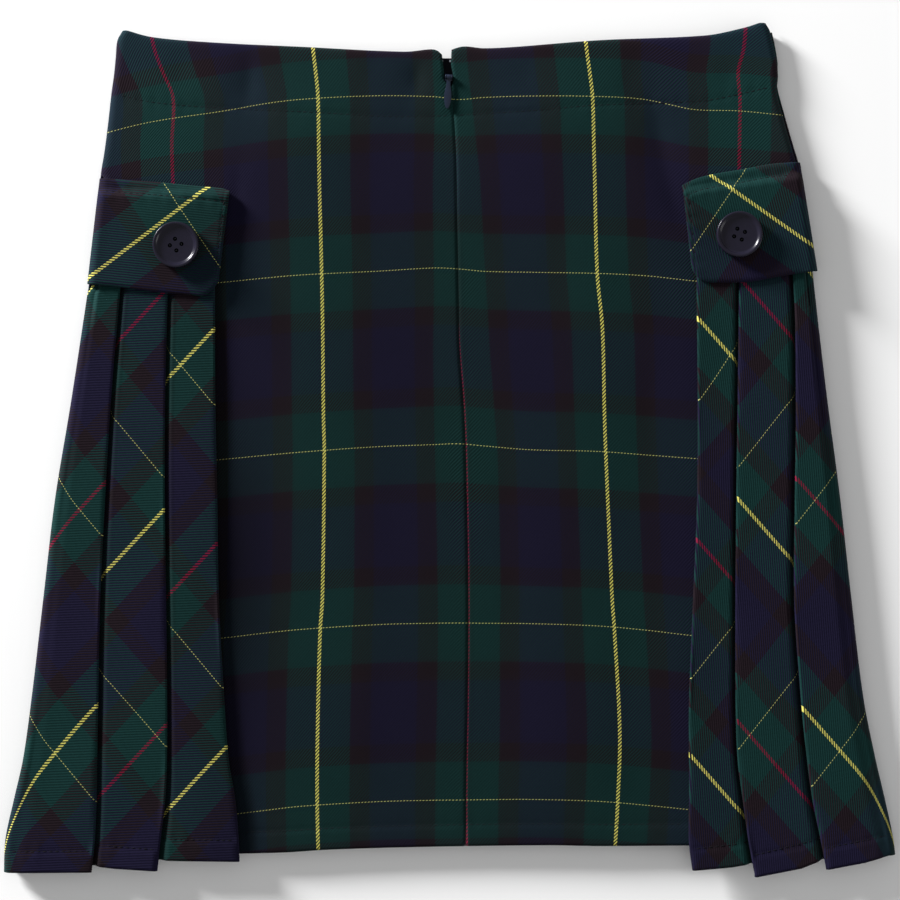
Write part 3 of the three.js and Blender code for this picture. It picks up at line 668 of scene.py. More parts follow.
def facing_line(x):
    """Height of the stitches that hold the waist facing, a smoother curve than the waist's own edge."""
    edge = [row for row in WAIST if abs(row["x"]) > 20]
    return read(edge, x, "y", "x") - FACING_DEPTH


def ride(piece, slot, *nodes, body=SKORT):
    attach(piece, body)
    if nodes:
        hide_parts(*nodes)
    return piece


def dress(piece, material, slot, node):
    """Gives a piece of cloth its material and puts it in its node's place."""
    piece.data.materials.append(material)
    return ride(piece, slot, node)


def make_front(material):
    across, down = 108, 104
    levels = np.linspace(0, 1, down + 1)
    y_level = lerp(WAIST_LEVEL, HEM_LEVEL, levels)
    columns = []
    for half in HALVES.values():
        bend = []
        for t in np.linspace(0, 1, 7):
            out, z = side_bend(half.edge(y_level), FRONT, SEAM_HEIGHT, t)
            bend.append((half.sign * out, np.full_like(y_level, z)))
        columns.append(bend)
    left, right = columns[0], columns[1][::-1]
    start, end = left[-1][0], right[0][0]
    inside = np.linspace(0, 1, across + 1)[1:-1]
    flat = [(lerp(start, end, t), np.full_like(y_level, FRONT)) for t in inside]
    every = left + flat + right
    x = np.stack([c[0] for c in every], axis=1)
    z = np.stack([c[1] for c in every], axis=1)
    share = np.minimum(1, np.abs(x) / FRONT_WIDEST)
    waist = read(WAIST, x, "y", "x") - UNDER_WAIST - WAIST_DROP * (1 - share**2)
    hem = FRONT_HEM + np.where(x < 0, FRONT_HEM_DROP["left"], FRONT_HEM_DROP["right"]) * share**2
    y = lerp(waist, hem, levels[:, None])
    points = np.stack([x, y, z], axis=-1)
    piece = cloth_mesh("front_cloth", points, np.stack([x, y - FRONT_PATTERN], axis=-1), SKIRT_SHELL)
    dress(piece, material, "tartan_cloth", "front_panel")


def make_back(half, material):
    yoke_columns, panel_columns, bend_count = 36, 78, 8
    yoke_rows, panel_rows = 54, 210
    columns = []
    for t in np.linspace(0, 1, bend_count):
        def bend(y, t=t):
            out, z = side_bend(half.back_edge(y), BACK, SEAM_HEIGHT + SEAM, t)
            return half.sign * out, z, 0.0
        columns.append(bend)
    for t in np.linspace(0, 1, yoke_columns + 1)[1:]:
        def yoke(y, t=t):
            start = half.back_edge(y) - CLOTH / 2 - SIDE_BEND
            return half.sign * lerp(start, half.panel_seam(y), t), BACK, min(1.0, 4 * t)
        columns.append(yoke)
    for t in np.linspace(0, 1, panel_columns + 1)[1:]:
        def panel(y, t=t):
            return lerp(half.sign * half.panel_seam(y), half.centre_edge(y), t), BACK, 1.0
        columns.append(panel)
    seam_column = bend_count + yoke_columns - 1
    v_yoke = np.linspace(0, 1, yoke_rows + 1)
    v_panel = np.linspace(0, 1, panel_rows + 1)[1:]
    xs, ys, zs, free = [], [], [], []
    for column in columns:
        top = read(WAIST, column(WAIST_LEVEL)[0], "y", "x")
        seam = half.yoke_seam(abs(float(column(YOKE_LEVEL)[0])))
        bottom = read(PANEL_HEM, column(HEM_LEVEL)[0], "y", "x")
        y = np.concatenate([lerp(top, seam, v_yoke), lerp(seam, bottom, v_panel)])
        x, z, f = column(y)
        xs.append(x)
        ys.append(y)
        zs.append(np.full_like(y, z))
        free.append(np.full_like(y, f))
    x, y, z, free = (np.stack(values, axis=1) for values in (xs, ys, zs, free))
    relief = swell(x, y) + swell(x, y, FINE_CREASES)
    relief += stitch_relief(y - facing_line(x), x)
    relief += np.where(y < 0, hem_relief(y - read(PANEL_HEM, x, "y", "x"), x), 0)
    to_seam = np.abs(x - half.centre_edge(y))
    below_zip = smooth((176 - y) / 20)
    groove_width = lerp(2.6, 1.0, below_zip)
    groove_depth = lerp(0.5, 0.12, below_zip) * smooth((190 - y) / 8)
    relief -= groove_depth * np.exp(-((to_seam / groove_width) ** 2))
    to_waist = read(WAIST, x, "y", "x") - y
    relief -= 0.5 * np.exp(-((to_waist / 1.4) ** 2))
    z = z + free * relief
    points = np.stack([x, y, z], axis=-1)
    pattern = straight_pattern(half.name, x, y)
    # Painted shade beside the innermost fold and along the centre seam
    shelter = back_painted_shade(half, x, y, to_seam)
    active = np.ones((points.shape[0] - 1, points.shape[1] - 1), bool)
    active[yoke_rows:, :seam_column] = False
    points, pattern, active, shelter = in_order(half.sign > 0, points, pattern, active, shelter)
    piece = cloth_mesh(f"back_{half.name}_cloth", points, pattern, SKIRT_SHELL, active, shelter)
    dress(piece, material, "tartan_cloth", f"back_{half.name}")
    return piece


def fold_painted_shade(half, distance, widen=1.0):
    """How much painted shade a fold lays on the cloth beside its foot, where its shadow falls; it is wider
    on the left, where the light from the left casts the folds' shadows.
    """
    reach = widen * FOLD_PAINTED_SHADE[half.name]
    return 1 - smooth((distance - reach) / (0.8 * reach))


def back_painted_shade(half, x, y, to_seam):
    """Painted shade along the centre seam below the zip and, on the left, beside the innermost fold, with a
    broad painted shadow of the pleats' step.
    """
    depth, reach = SEAM_PAINTED_SHADE[half.name]
    seam = depth * np.exp(-((to_seam / reach) ** 2)) * smooth((150 - y) / 60) * smooth((y + 196) / 14)
    if half.name == "right":
        return seam
    beside_fold = np.maximum(0, half.fold(PLEAT_COUNT, y) - half.sign * x)
    widen = 0.8 + 1.2 * smooth((80 - y) / 60)
    fold = PANEL_PAINTED_SHADE * fold_painted_shade(half, beside_fold, widen) * (y < half.tab[-1]["bottom"])
    # A broad painted shadow that the pleats' step casts on the left panel
    broad_painted_shadow = 1.1 * np.exp(-((beside_fold / 26) ** 2) - ((y + 60) / 70) ** 2)
    return np.maximum(np.maximum(fold, broad_painted_shadow), seam)


def side_height(half, y):
    """Height of the flat cloth beside the side seam; below the tab the pleats lift it."""
    below_tab = smooth((half.tab[-1]["bottom"] - 6 - y) / 20)
    return BACK + 2 * PLEAT_STEP * SIDE_LIFT[half.name] * below_tab


def pleat_sections(half):
    """Places along an insert's section from the side seam inwards.
    Each gives its pleat, the hem's height there, a function of y for out, height and unfolded
    distance out, and how far the cloth is free to ripple."""
    places = []
    hems, radius = half.hems, PLEAT_STEP / 2
    for t in np.linspace(0, 1, 8):
        def bend(y, t=t):
            out, z = side_bend(half.back_edge(y), side_height(half, y), SEAM_HEIGHT + SEAM, t)
            return out, z, out
        places.append((1, hems["start1"], bend, 0.0))
    for n in range(1, PLEAT_COUNT + 1):
        start_hem, fold_hem = hems[f"start{n}"], hems[f"fold{n}"]
        unfold = 2 * CUT_PLEAT_DEPTH * (n - 1)
        flat_edge = half.back_edge if n == 1 else lambda y, n=n: half.fold(n - 1, y)
        drop = CLOTH / 2 + (SIDE_BEND if n == 1 else 0)

        def inner(y, n=n):
            return half.fold(n, y) + half.pleat_depth(n, y)

        for t in np.linspace(0, 1, 15)[1 if n == 1 else 0:]:
            def rise(y, t=t, n=n, edge=flat_edge, drop=drop, inner=inner, unfold=unfold):
                out = lerp(edge(y) - drop, inner(y) + CLOTH / 2, t)
                start = side_height(half, y) if n == 1 else BACK
                share = smooth((SIDE_RISE if n == 1 else FOLD_RISE) * t)
                return out, lerp(start, BACK + 2 * PLEAT_STEP, share), out - unfold
            places.append((n, lerp(start_hem, fold_hem, 0.5 * t), rise, 1.0))
        for t in np.linspace(0, 1, 10)[1:]:
            def face(y, t=t, n=n, inner=inner, unfold=unfold):
                out = lerp(inner(y) + CLOTH / 2, half.fold(n, y) + CLOTH / 2 + radius, t)
                return out, BACK + 2 * PLEAT_STEP, out - unfold
            places.append((n, lerp(start_hem, fold_hem, lerp(0.5, 1, t)), face, 1.0))
        for t in np.linspace(0, 1, 11)[1:]:
            def turn(y, t=t, n=n, unfold=unfold):
                angle = t * math.pi
                out = half.fold(n, y) + CLOTH / 2 + radius - radius * math.sin(angle)
                flat = half.fold(n, y) + CLOTH / 2 + radius * (1 - 2 * t)
                return out, BACK + 1.5 * PLEAT_STEP + radius * math.cos(angle), flat - unfold
            places.append((n, fold_hem, turn, 0.0))
        if n == PLEAT_COUNT:
            settled = PLEAT_STEP - CLOTH - SEAM
            for t, back_off, fall in ((0.6, 6, 0), (1, 0, settled)):
                def seam(y, back_off=back_off, fall=fall, n=n, inner=inner, unfold=unfold, t=t):
                    flat = half.fold(n, y) - unfold - CUT_PLEAT_DEPTH * t
                    return inner(y) - back_off, BACK + PLEAT_STEP - fall, flat
                places.append((n, fold_hem + 2 + t, seam, 0.0))
            break
        next_hem = hems[f"start{n + 1}"]
        for t in np.linspace(0, 1, 7):
            def under(y, t=t, n=n, inner=inner, unfold=unfold):
                angle = t * math.pi
                out = inner(y) - CLOTH / 2 - radius + radius * math.sin(angle)
                flat = half.fold(n, y) - unfold - CUT_PLEAT_DEPTH * lerp(0.9, 1.1, t)
                return out, BACK + 0.5 * PLEAT_STEP + radius * math.cos(angle), flat
            places.append((n, next_hem + 1.5, under, 0.0))
    return places


def edge_curl(half, out, y):
    """Extra length of cloth that goes round the side edge."""
    near = np.clip(1 - (half.back_edge(y) - out) / CURL_REACH, 0, 1)
    return read(EDGE_CURL, y, half.name) * near**2


def pleat_ripple(out, y, seed):
    """Slight waves of a pressed pleat's face, which grow towards the hem."""
    grow = smooth((120 - y) / 320)
    broad = np.sin(y / 23.0 + seed * 2.1) * np.sin(out / 9.0 + seed)
    fine = np.sin(y / 11.0 + seed * 4.3 + out / 14.0)
    return 0.12 * (0.4 + grow) * (broad + 0.6 * fine)


def make_pleats(half, material):
    places = pleat_sections(half)
    levels = spaced((0, 0.12, 14), (0.12, 0.16, 12), (0.16, 1, 190))
    xs, ys, zs, patterns, painted_shades = [], [], [], [], []
    for pleat, hem, section, free in places:
        top = float(half.yoke_seam(float(section(YOKE_LEVEL)[0]))) - SEAM
        y = lerp(top, hem, levels)
        out, z, flat = section(y)
        flat = flat + edge_curl(half, out, y)
        above = y - hem
        lift = smooth((half.back_edge(y) - out - 4) / 20) * swell(half.sign * out, y)
        relief = hem_relief(above, out) + pleat_ripple(out, y, half.sign + 2)
        xs.append(half.sign * out)
        ys.append(y)
        zs.append(z + lift + free * np.where(y < 60, relief, 0.5 * relief))
        patterns.append(bias_pattern(f"pleats_{half.name}", half.sign, flat, y) + pleat_draw(half, pleat, y))
        # Painted shade beside the fold of the pleat above, where its shadow falls
        if pleat == 1:
            painted_shades.append(np.zeros_like(y))
        else:
            painted_shades.append(PLEAT_PAINTED_SHADE * fold_painted_shade(half, half.fold(pleat - 1, y) - out))
    points = np.stack([np.stack(values, axis=1) for values in (xs, ys, zs)], axis=-1)
    pattern = np.stack(patterns, axis=1)
    shelter = np.stack(painted_shades, axis=1)
    points, pattern, shelter = in_order(half.sign > 0, points, pattern, shelter)
    piece = cloth_mesh(f"pleats_{half.name}_cloth", points, pattern, SKIRT_SHELL, shelter=shelter)
    dress(piece, material, "tartan_cloth", f"pleats_{half.name}")
    return piece


def tab_grid(half, u, v):
    """Points on a tab's middle; u runs from its inner end out, v from its top edge down."""
    edges = half.tab
    end = edges[-1]
    keys = np.linspace(0, 1, len(edges))
    table = [dict(row, u=k) for row, k in zip(edges, keys)]
    end_out = lerp(end["top_out"], end["bottom_out"], v)
    out = lerp(read(table, u, "top_out", "u"), read(table, u, "bottom_out", "u"), v)
    y = lerp(read(table, u, "top", "u"), read(table, u, "bottom", "u"), v)
    flat_end = end_out - DOUBLE_CLOTH / 2 - TAB_BEND
    bend = np.clip((out - flat_end) / (end_out - flat_end), 0, 1)
    angle = bend * math.pi / 2
    flat_height = half.tab_height(np.minimum(out, flat_end), y)
    z = lerp(SEAM_HEIGHT + SEAM, flat_height, np.cos(angle))
    out = np.where(bend > 0, flat_end + TAB_BEND * np.sin(angle), out)
    return out, y, z


def make_tab(half, material):
    u = spaced((0, 0.34, 34), (0.34, 0.9, 46), (0.9, 1, 18))
    v = np.linspace(0, 1, 76)
    uu, vv = np.meshgrid(u, v)
    out, y, z = tab_grid(half, uu, vv)
    from_top = tab_grid(half, uu, np.zeros_like(vv))[1] - y
    from_inner = out - tab_grid(half, np.zeros_like(uu), vv)[0]
    from_bottom = y - tab_grid(half, uu, np.ones_like(vv))[1]
    rim = np.minimum(np.minimum(from_top, from_inner), from_bottom)
    relief = stitch_relief(from_top - TAB_STITCH, out, 0.4) + stitch_relief(from_inner - 2, y, 0.22)
    relief -= 0.55 * np.exp(-((np.maximum(rim, 0) / 0.9) ** 2))
    button = BUTTONS[half.name]
    from_button = np.hypot(out - abs(button["x"]), y - button["y"])
    relief -= 0.12 * np.exp(-((from_button / 9) ** 2))
    relief += 0.1 * np.sin(out / 8.0 + y / 13.0)
    free = smooth((end_distance(half, out, y) - 3) / 6)
    z = z + free * relief
    points = np.stack([half.sign * out, y, z], axis=-1)
    pattern = bias_pattern(f"tab_{half.name}", half.sign, out, y)
    points, pattern = in_order(half.sign < 0, points, pattern)
    piece = cloth_mesh(f"tab_{half.name}_cloth", points, pattern, TAB_SHELL)
    dress(piece, material, "tartan_cloth", f"tab_{half.name}")
    return piece


def end_distance(half, out, y):
    """How far a point of a tab lies in from the side edge."""
    return half.edge(y) - out


def make_shorts(half, height, level, material):
    across, down = 60, 100
    y_level = np.linspace(SHORTS_TOP, SHORTS_BOTTOM, down + 1)
    t = np.linspace(0, 1, across + 1)
    outer = read(SHORTS, y_level, "outer")
    inner = np.maximum(SEAM / 2, read(SHORTS, y_level, "inner"))
    out = lerp(outer[:, None], inner[:, None], t[None, :])
    x = half.sign * out
    waist_turn = read(WAIST, x, "y", "x") - LOWEST_WAIST
    y = y_level[:, None] + smooth((y_level[:, None] - 120) / 70) * waist_turn * WAIST_SHARE
    above_stitches = y - SHORTS_BOTTOM - SHORTS_HEM_DEPTH
    relief = 0.12 * (1 - smooth(above_stitches / 2)) - 0.12 * np.exp(-((above_stitches / 1.1) ** 2))
    z = np.full_like(x, height) + 0.4 * relief
    points = np.stack([x, y, z], axis=-1)
    points, pattern = in_order(half.sign > 0, points, np.stack([x, y], axis=-1))
    piece = cloth_mesh(f"shorts_{level}_{half.name}_cloth", points, pattern, SHORTS_SHELL)
    dress(piece, material, "shorts_cloth", f"shorts_{level}_{half.name}")


def deselect():
    bpy.ops.object.select_all(action="DESELECT")


def activate(piece):
    deselect()
    piece.select_set(True)
    bpy.context.view_layer.objects.active = piece
    return piece


def apply_modifier(piece, kind, **values):
    activate(piece)
    modifier = piece.modifiers.new(kind.lower(), kind)
    for key, value in values.items():
        setattr(modifier, key, value)
    bpy.ops.object.modifier_apply(modifier=modifier.name)


def round_edges(piece, width, segments):
    """Rounds a piece's sharp edges; the width is in millimetres."""
    limit = dict(limit_method="ANGLE", angle_limit=math.radians(SHARP_EDGE))
    apply_modifier(piece, "BEVEL", width=width * MM, segments=segments, **limit)


def finish_piece(piece, name, material, slot, *nodes, body=SKORT, angle=35):
    """Names a finished piece, gives it its material and settles its place into its mesh."""
    activate(piece)
    bpy.ops.object.transform_apply(location=True, rotation=True, scale=True)
    bpy.ops.object.shade_smooth_by_angle(angle=math.radians(angle))
    piece.name = name
    piece.data.name = name
    piece.data.materials.clear()
    piece.data.materials.append(material)
    return ride(piece, slot, *nodes, body=body)


def select_faces(piece, test):
    """In edit mode, selects the faces for which test(face) is true."""
    mesh = bmesh.from_edit_mesh(piece.data)
    mesh.faces.ensure_lookup_table()
    for face in mesh.faces:
        face.select_set(bool(test(face)))
    mesh.select_flush_mode()
    bmesh.update_edit_mesh(piece.data)


def inset_rings(rings):
    """Sets the selected face in, ring by ring."""
    for width, step in rings:
        bpy.ops.mesh.inset(thickness=width * MM, depth=step * MM)


def make_button(half, material, thread):
    node = f"button_{half.name}"
    low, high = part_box(node)
    centre = (low + high) / 2
    radius, height = (high.x - low.x) / 2, high.z - low.z
    deselect()
    bpy.ops.mesh.primitive_cylinder_add(vertices=72, radius=radius, depth=height, location=centre)
    button = bpy.context.active_object
    bpy.ops.object.mode_set(mode="EDIT")
    bpy.ops.mesh.select_mode(type="FACE")
    select_faces(button, lambda face: face.normal.z > 0.9)
    inset_rings(BUTTON_FACE)
    select_faces(button, lambda face: face.normal.z < -0.9)
    inset_rings(BUTTON_UNDERSIDE)
    bpy.ops.object.mode_set(mode="OBJECT")
    round_edges(button, 0.55, 4)
    turn = BUTTONS[half.name]["turn"]
    holes = []
    for hole_number in range(HOLE_COUNT):
        angle = math.radians(360 / HOLE_COUNT * hole_number + turn)
        offset = Vector((math.cos(angle), math.sin(angle), 0)) * HOLE_DISTANCE * MM
        deselect()
        bpy.ops.mesh.primitive_cylinder_add(
            vertices=24, radius=HOLE_RADIUS * MM, depth=0.02, location=centre + offset
        )
        holes.append(bpy.context.active_object)
    for hole in holes:
        apply_modifier(button, "BOOLEAN", operation="DIFFERENCE", object=hole, solver="EXACT")
    for hole in holes:
        bpy.data.objects.remove(hole)
    finish_piece(button, f"{node}_body", material, "button_plastic", node)
    make_button_thread(half, centre, height, turn, thread)


def make_button_thread(half, centre, height, turn, thread):
    """Two strands of thread in each of the four holes, with rounded ends."""
    parts = []
    level = height * 0.08
    for hole_number in range(HOLE_COUNT):
        angle = math.radians(360 / HOLE_COUNT * hole_number + turn)
        for strand in (-0.25, 0.25):
            x = math.cos(angle) * HOLE_DISTANCE * MM - math.sin(angle) * strand * MM
            y = math.sin(angle) * HOLE_DISTANCE * MM + math.cos(angle) * strand * MM
            deselect()
            middle = centre + Vector((x, y, -height * 0.2))
            bpy.ops.mesh.primitive_cylinder_add(
                vertices=8, radius=0.3 * MM, depth=height * 0.62, location=middle
            )
            parts.append(bpy.context.active_object)
            deselect()
            end = centre + Vector((x, y, level))
            bpy.ops.mesh.primitive_uv_sphere_add(segments=8, ring_count=6, radius=0.32 * MM, location=end)
            parts.append(bpy.context.active_object)
    deselect()
    for part in parts:
        part.select_set(True)
    bpy.context.view_layer.objects.active = parts[0]
    bpy.ops.object.join()
    name = f"button_{half.name}_thread"
    finish_piece(bpy.context.active_object, name, thread, "button_plastic", angle=60)


def refined_copy(node, name, material, slot, bevel, body=SKORT):
    """A copy of a hard node with merged points and rounded edges."""
    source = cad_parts[node]
    piece = activate(add_object(name, source.data.copy()))
    bpy.ops.object.mode_set(mode="EDIT")
    bpy.ops.mesh.select_all(action="SELECT")
    bpy.ops.mesh.remove_doubles(threshold=2e-6)
    bpy.ops.mesh.dissolve_limited(angle_limit=math.radians(3))
    bpy.ops.object.mode_set(mode="OBJECT")
    round_edges(piece, bevel, 3)
    apply_modifier(piece, "TRIANGULATE")
    return finish_piece(piece, name, material, slot, node, body=body)


def tape_middle(y):
    """The middle of the tape, which leaves the seam's line a little towards its top."""
    return read(CENTRE_SEAM, y, "x") - 1.5 * smooth((y - 150) / 45)


def make_zip(tape_material, enamel, steel):
    y = TAPE_TOP - TAPE_LENGTH * np.linspace(0, 1, 161)
    t = np.linspace(-0.5, 0.5, 21)
    x = tape_middle(y)[:, None] + t[None, :] * TAPE_WIDTH
    yy = np.repeat(y[:, None], len(t), axis=1)
    rib = 0.08 * np.exp(-(((np.abs(t) * TAPE_WIDTH - 3.2) / 0.5) ** 2))
    z = np.full_like(x, TAPE - 0.25) + rib[None, :]
    points = np.stack([x, yy, z], axis=-1)
    piece = cloth_mesh("zip_tape_cloth", points, np.stack([x, yy], axis=-1), TAPE_SHELL)
    dress(piece, tape_material, "zip_tape", "zip_tape")
    make_zip_teeth(enamel)
    refined_copy("zip_slider", "zip_slider_body", enamel, "zip_enamel", 0.12)
    refined_copy("zip_pull", "zip_pull_drop", enamel, "zip_enamel", 0.22, body=PULL_TAB)
    make_top_stops(steel)


def box_row(name, places, size, material, slot):
    """Small rounded blocks, one at each place, joined into one piece."""
    deselect()
    bpy.ops.mesh.primitive_cube_add(size=1, location=(0, 0, 0))
    block = bpy.context.active_object
    block.scale = [s * MM for s in size]
    bpy.ops.object.transform_apply(location=False, rotation=False, scale=True)
    apply_modifier(block, "BEVEL", width=0.3 * min(size) * MM, segments=2)
    shape = block.data
    whole = bmesh.new()
    for spot in places:
        before = len(whole.verts)
        whole.from_mesh(shape)
        whole.verts.ensure_lookup_table()
        bmesh.ops.transform(whole, matrix=Matrix.Translation(spot), verts=whole.verts[before:])
    mesh = bpy.data.meshes.new(name)
    whole.to_mesh(mesh)
    whole.free()
    bpy.data.objects.remove(block)
    return finish_piece(add_object(name, mesh), name, material, slot)


def make_zip_teeth(material):
    """The closed teeth on the tape, below the slider."""
    levels = np.arange(TEETH["top"], TEETH["bottom"], -TEETH["pitch"])
    middle = tape_middle(levels)
    places = [Vector(place([x, y, TAPE - 0.05])) for x, y in zip(middle, levels)]
    box_row("zip_teeth", places, TEETH["size"], material, "zip_enamel")


def make_top_stops(material):
    """Two small metal stops above the slider, one on each edge of the opening."""
    places = [Vector(place([x, TOP_STOPS["y"], TAPE + 0.25])) for x in TOP_STOPS["x"]]
    box_row("zip_top_stops", places, TOP_STOPS["size"], material, "zip_enamel")


def stitch_line(whole, x, y, z):
    """Adds one thread for each stitch along a path in millimetres."""
    path = np.stack([x, y, z], axis=-1)
    steps = np.linalg.norm(np.diff(path, axis=0), axis=1)
    run = np.concatenate([[0], np.cumsum(steps)])
    for start in np.arange(0.4, run[-1] - STITCH_LENGTH, STITCH_LENGTH + STITCH_GAP):
        spots = (start, start + STITCH_LENGTH)
        ends = [np.array([np.interp(spot, run, path[:, k]) for k in range(3)]) for spot in spots]
        add_stitch(whole, *ends)


def add_stitch(whole, start, end):
    """A thread that rises out of the cloth, runs along it and dips in again."""
    along = end - start
    length = np.linalg.norm(along)
    along = along / length
    side = np.cross(along, [0, 0, 1.0])
    side /= np.linalg.norm(side)
    up = np.cross(side, along)
    rings = []
    for t, size, lift in STITCH_PROFILE:
        middle = start + along * length * t + up * lift
        ring = []
        for corner in range(6):
            angle = corner * math.pi / 3
            offset = (side * math.cos(angle) + up * 0.7 * math.sin(angle)) * THREAD_RADIUS * size
            ring.append(whole.verts.new(place(middle + offset)))
        rings.append(ring)
    for first, second in zip(rings, rings[1:]):
        for corner in range(6):
            other = (corner + 1) % 6
            whole.faces.new((first[corner], first[other], second[other], second[corner]))
    whole.faces.new(rings[0][::-1])
    whole.faces.new(rings[-1])


def thread_height(tree, x, y):
    """Height at which a thread lies on the topmost cloth, sunk in a little, in millimetres."""
    found = []
    for px, py in zip(x, y):
        spot = Vector(place([px, py, 30]))
        hit = tree.ray_cast(spot, Vector((0, 0, -1)))[0]
        found.append((hit.z / MM if hit else BACK) - STITCH_SINK)
    return np.array(found)


def cloth_tree(pieces):
    verts, faces = [], []
    for piece in pieces:
        base = len(verts)
        verts += [v.co.copy() for v in piece.data.vertices]
        faces += [[base + i for i in face.vertices] for face in piece.data.polygons]
    return BVHTree.FromPolygons(verts, faces)


def dense(a, b):
    """Places about a millimetre apart from a to b."""
    return np.linspace(a, b, max(2, int(abs(b - a)) + 1))


def make_stitching(half, cloths, thread):
    """Topstitching of one side: waist facing, hems and the tab."""
    sign = half.sign
    panels = cloth_tree([cloths[f"back_{half.name}"]])
    folds = cloth_tree([cloths[f"pleats_{half.name}"]])
    tab = cloth_tree([cloths[f"tab_{half.name}"]])
    whole = bmesh.new()

    def sew(tree, x, y):
        stitch_line(whole, x, y, thread_height(tree, x, y))

    inner = float(half.centre_edge(168.0)) + sign * 2.5
    outer = sign * (float(half.back_edge(174.0)) - 1.6)
    x = dense(inner, outer)
    sew(panels, x, facing_line(x))
    inner = float(half.centre_edge(-190.0)) + sign * 1.0
    outer = sign * (float(half.fold(PLEAT_COUNT, -198.0)) - 0.8)
    x = dense(inner, outer)
    sew(panels, x, read(PANEL_HEM, x, "y", "x") + HEM_DEPTH)
    for n in range(1, PLEAT_COUNT + 1):
        start = half.edge(HEM_LEVEL) - 1.5 if n == 1 else half.fold(n - 1, HEM_LEVEL) - 0.8
        out = dense(float(start), float(half.fold(n, HEM_LEVEL)) + 0.8)
        t = (out - out[0]) / (out[-1] - out[0])
        hem = lerp(half.hems[f"start{n}"], half.hems[f"fold{n}"], t)
        sew(folds, sign * out, hem + HEM_DEPTH)
    u = np.linspace(0.0, 0.985, 90)
    out, y, _ = tab_grid(half, u, np.zeros_like(u))
    keep = out > out[0] + 2
    sew(tab, sign * out[keep], y[keep] - TAB_STITCH)
    v = np.linspace(0.11, 0.93, 60)
    out, y, _ = tab_grid(half, np.zeros_like(v), v)
    sew(tab, sign * (out + 2), y)
    mesh = bpy.data.meshes.new(f"stitching_{half.name}")
    whole.to_mesh(mesh)
    whole.free()
    finish_piece(add_object(mesh.name, mesh), mesh.name, thread, "tartan_cloth", angle=60)


# Shader node groups


class Shader:
    """A short way to add and link shader nodes in a tree."""

    def __init__(self, tree):
        self.tree = tree

    def add(self, kind, **values):
        node = self.tree.nodes.new(kind)
        for key, value in values.items():
            setattr(node, key, value)
        return node

    def link(self, source, target):
        self.tree.links.new(source, target)

    def feed(self, socket, value):
        if isinstance(value, bpy.types.NodeSocket):
            self.link(value, socket)
        else:
            socket.default_value = value

    def math(self, operation, first, second=0.0, third=0.0, clamp=False):
        node = self.add("ShaderNodeMath", operation=operation, use_clamp=clamp)
        for socket, value in zip(node.inputs, (first, second, third)):
            self.feed(socket, value)
        return node.outputs[0]

    def mix(self, factor, first, second, blend="MIX"):
        node = self.add("ShaderNodeMix", data_type="RGBA", blend_type=blend)
        self.feed(node.inputs["Factor"], factor)
        self.feed(node.inputs[6], first)
        self.feed(node.inputs[7], second)
        return node.outputs[2]

    def noise(self, vector, scale, detail=2.0):
        node = self.add("ShaderNodeTexNoise")
        self.link(vector, node.inputs["Vector"])
        node.inputs["Scale"].default_value = scale
        node.inputs["Detail"].default_value = detail
        return node.outputs["Fac"]

    def spread(self, value, low, high):
        node = self.add("ShaderNodeMapRange")
        self.link(value, node.inputs["Value"])
        node.inputs["To Min"].default_value = low
        node.inputs["To Max"].default_value = high
        return node.outputs["Result"]

    def ramp(self, value, low, high):
        """0 below low, 1 above high and a smooth rise between them."""
        node = self.add("ShaderNodeMapRange", interpolation_type="SMOOTHSTEP")
        self.link(value, node.inputs["Value"])
        node.inputs["From Min"].default_value = low
        node.inputs["From Max"].default_value = high
        return node.outputs["Result"]

    def tint(self, colour, tone):
        """A colour made lighter or darker by a tone."""
        grey = self.add("ShaderNodeCombineColor")
        for socket in grey.inputs:
            self.link(tone, socket)
        return self.mix(1.0, colour, grey.outputs[0], "MULTIPLY")


def socket_kind(label):
    """Sockets are numbers, but for those named Vector and Color."""
    return f"NodeSocket{label if label in ('Vector', 'Color') else 'Float'}"


def new_group(name, inputs, outputs):
    """A node group with named sockets; returns its helper, its inputs and its outputs."""
    tree = bpy.data.node_groups.new(name, "ShaderNodeTree")
    for label, value in inputs.items():
        socket = tree.interface.new_socket(label, in_out="INPUT", socket_type=socket_kind(label))
        if value is not None:
            socket.default_value = value
    for label in outputs:
        tree.interface.new_socket(label, in_out="OUTPUT", socket_type=socket_kind(label))
    shader = Shader(tree)
    return shader, shader.add("NodeGroupInput").outputs, shader.add("NodeGroupOutput").inputs


def stripe_ramp(shader, coordinate, stripes, colours):
    """A colour for each stripe of one repeat, with hard edges."""
    total = sum(width for _, width in stripes)
    ramp = shader.add("ShaderNodeValToRGB")
    ramp.color_ramp.interpolation = "CONSTANT"
    shader.link(coordinate, ramp.inputs["Fac"])
    elements = ramp.color_ramp.elements
    at = 0.0
    for n, (colour, width) in enumerate(stripes):
        element = elements[n] if n < 2 else elements.new(at / total)
        element.position = at / total
        element.color = colours[colour]
        at += width
    return ramp.outputs["Color"]


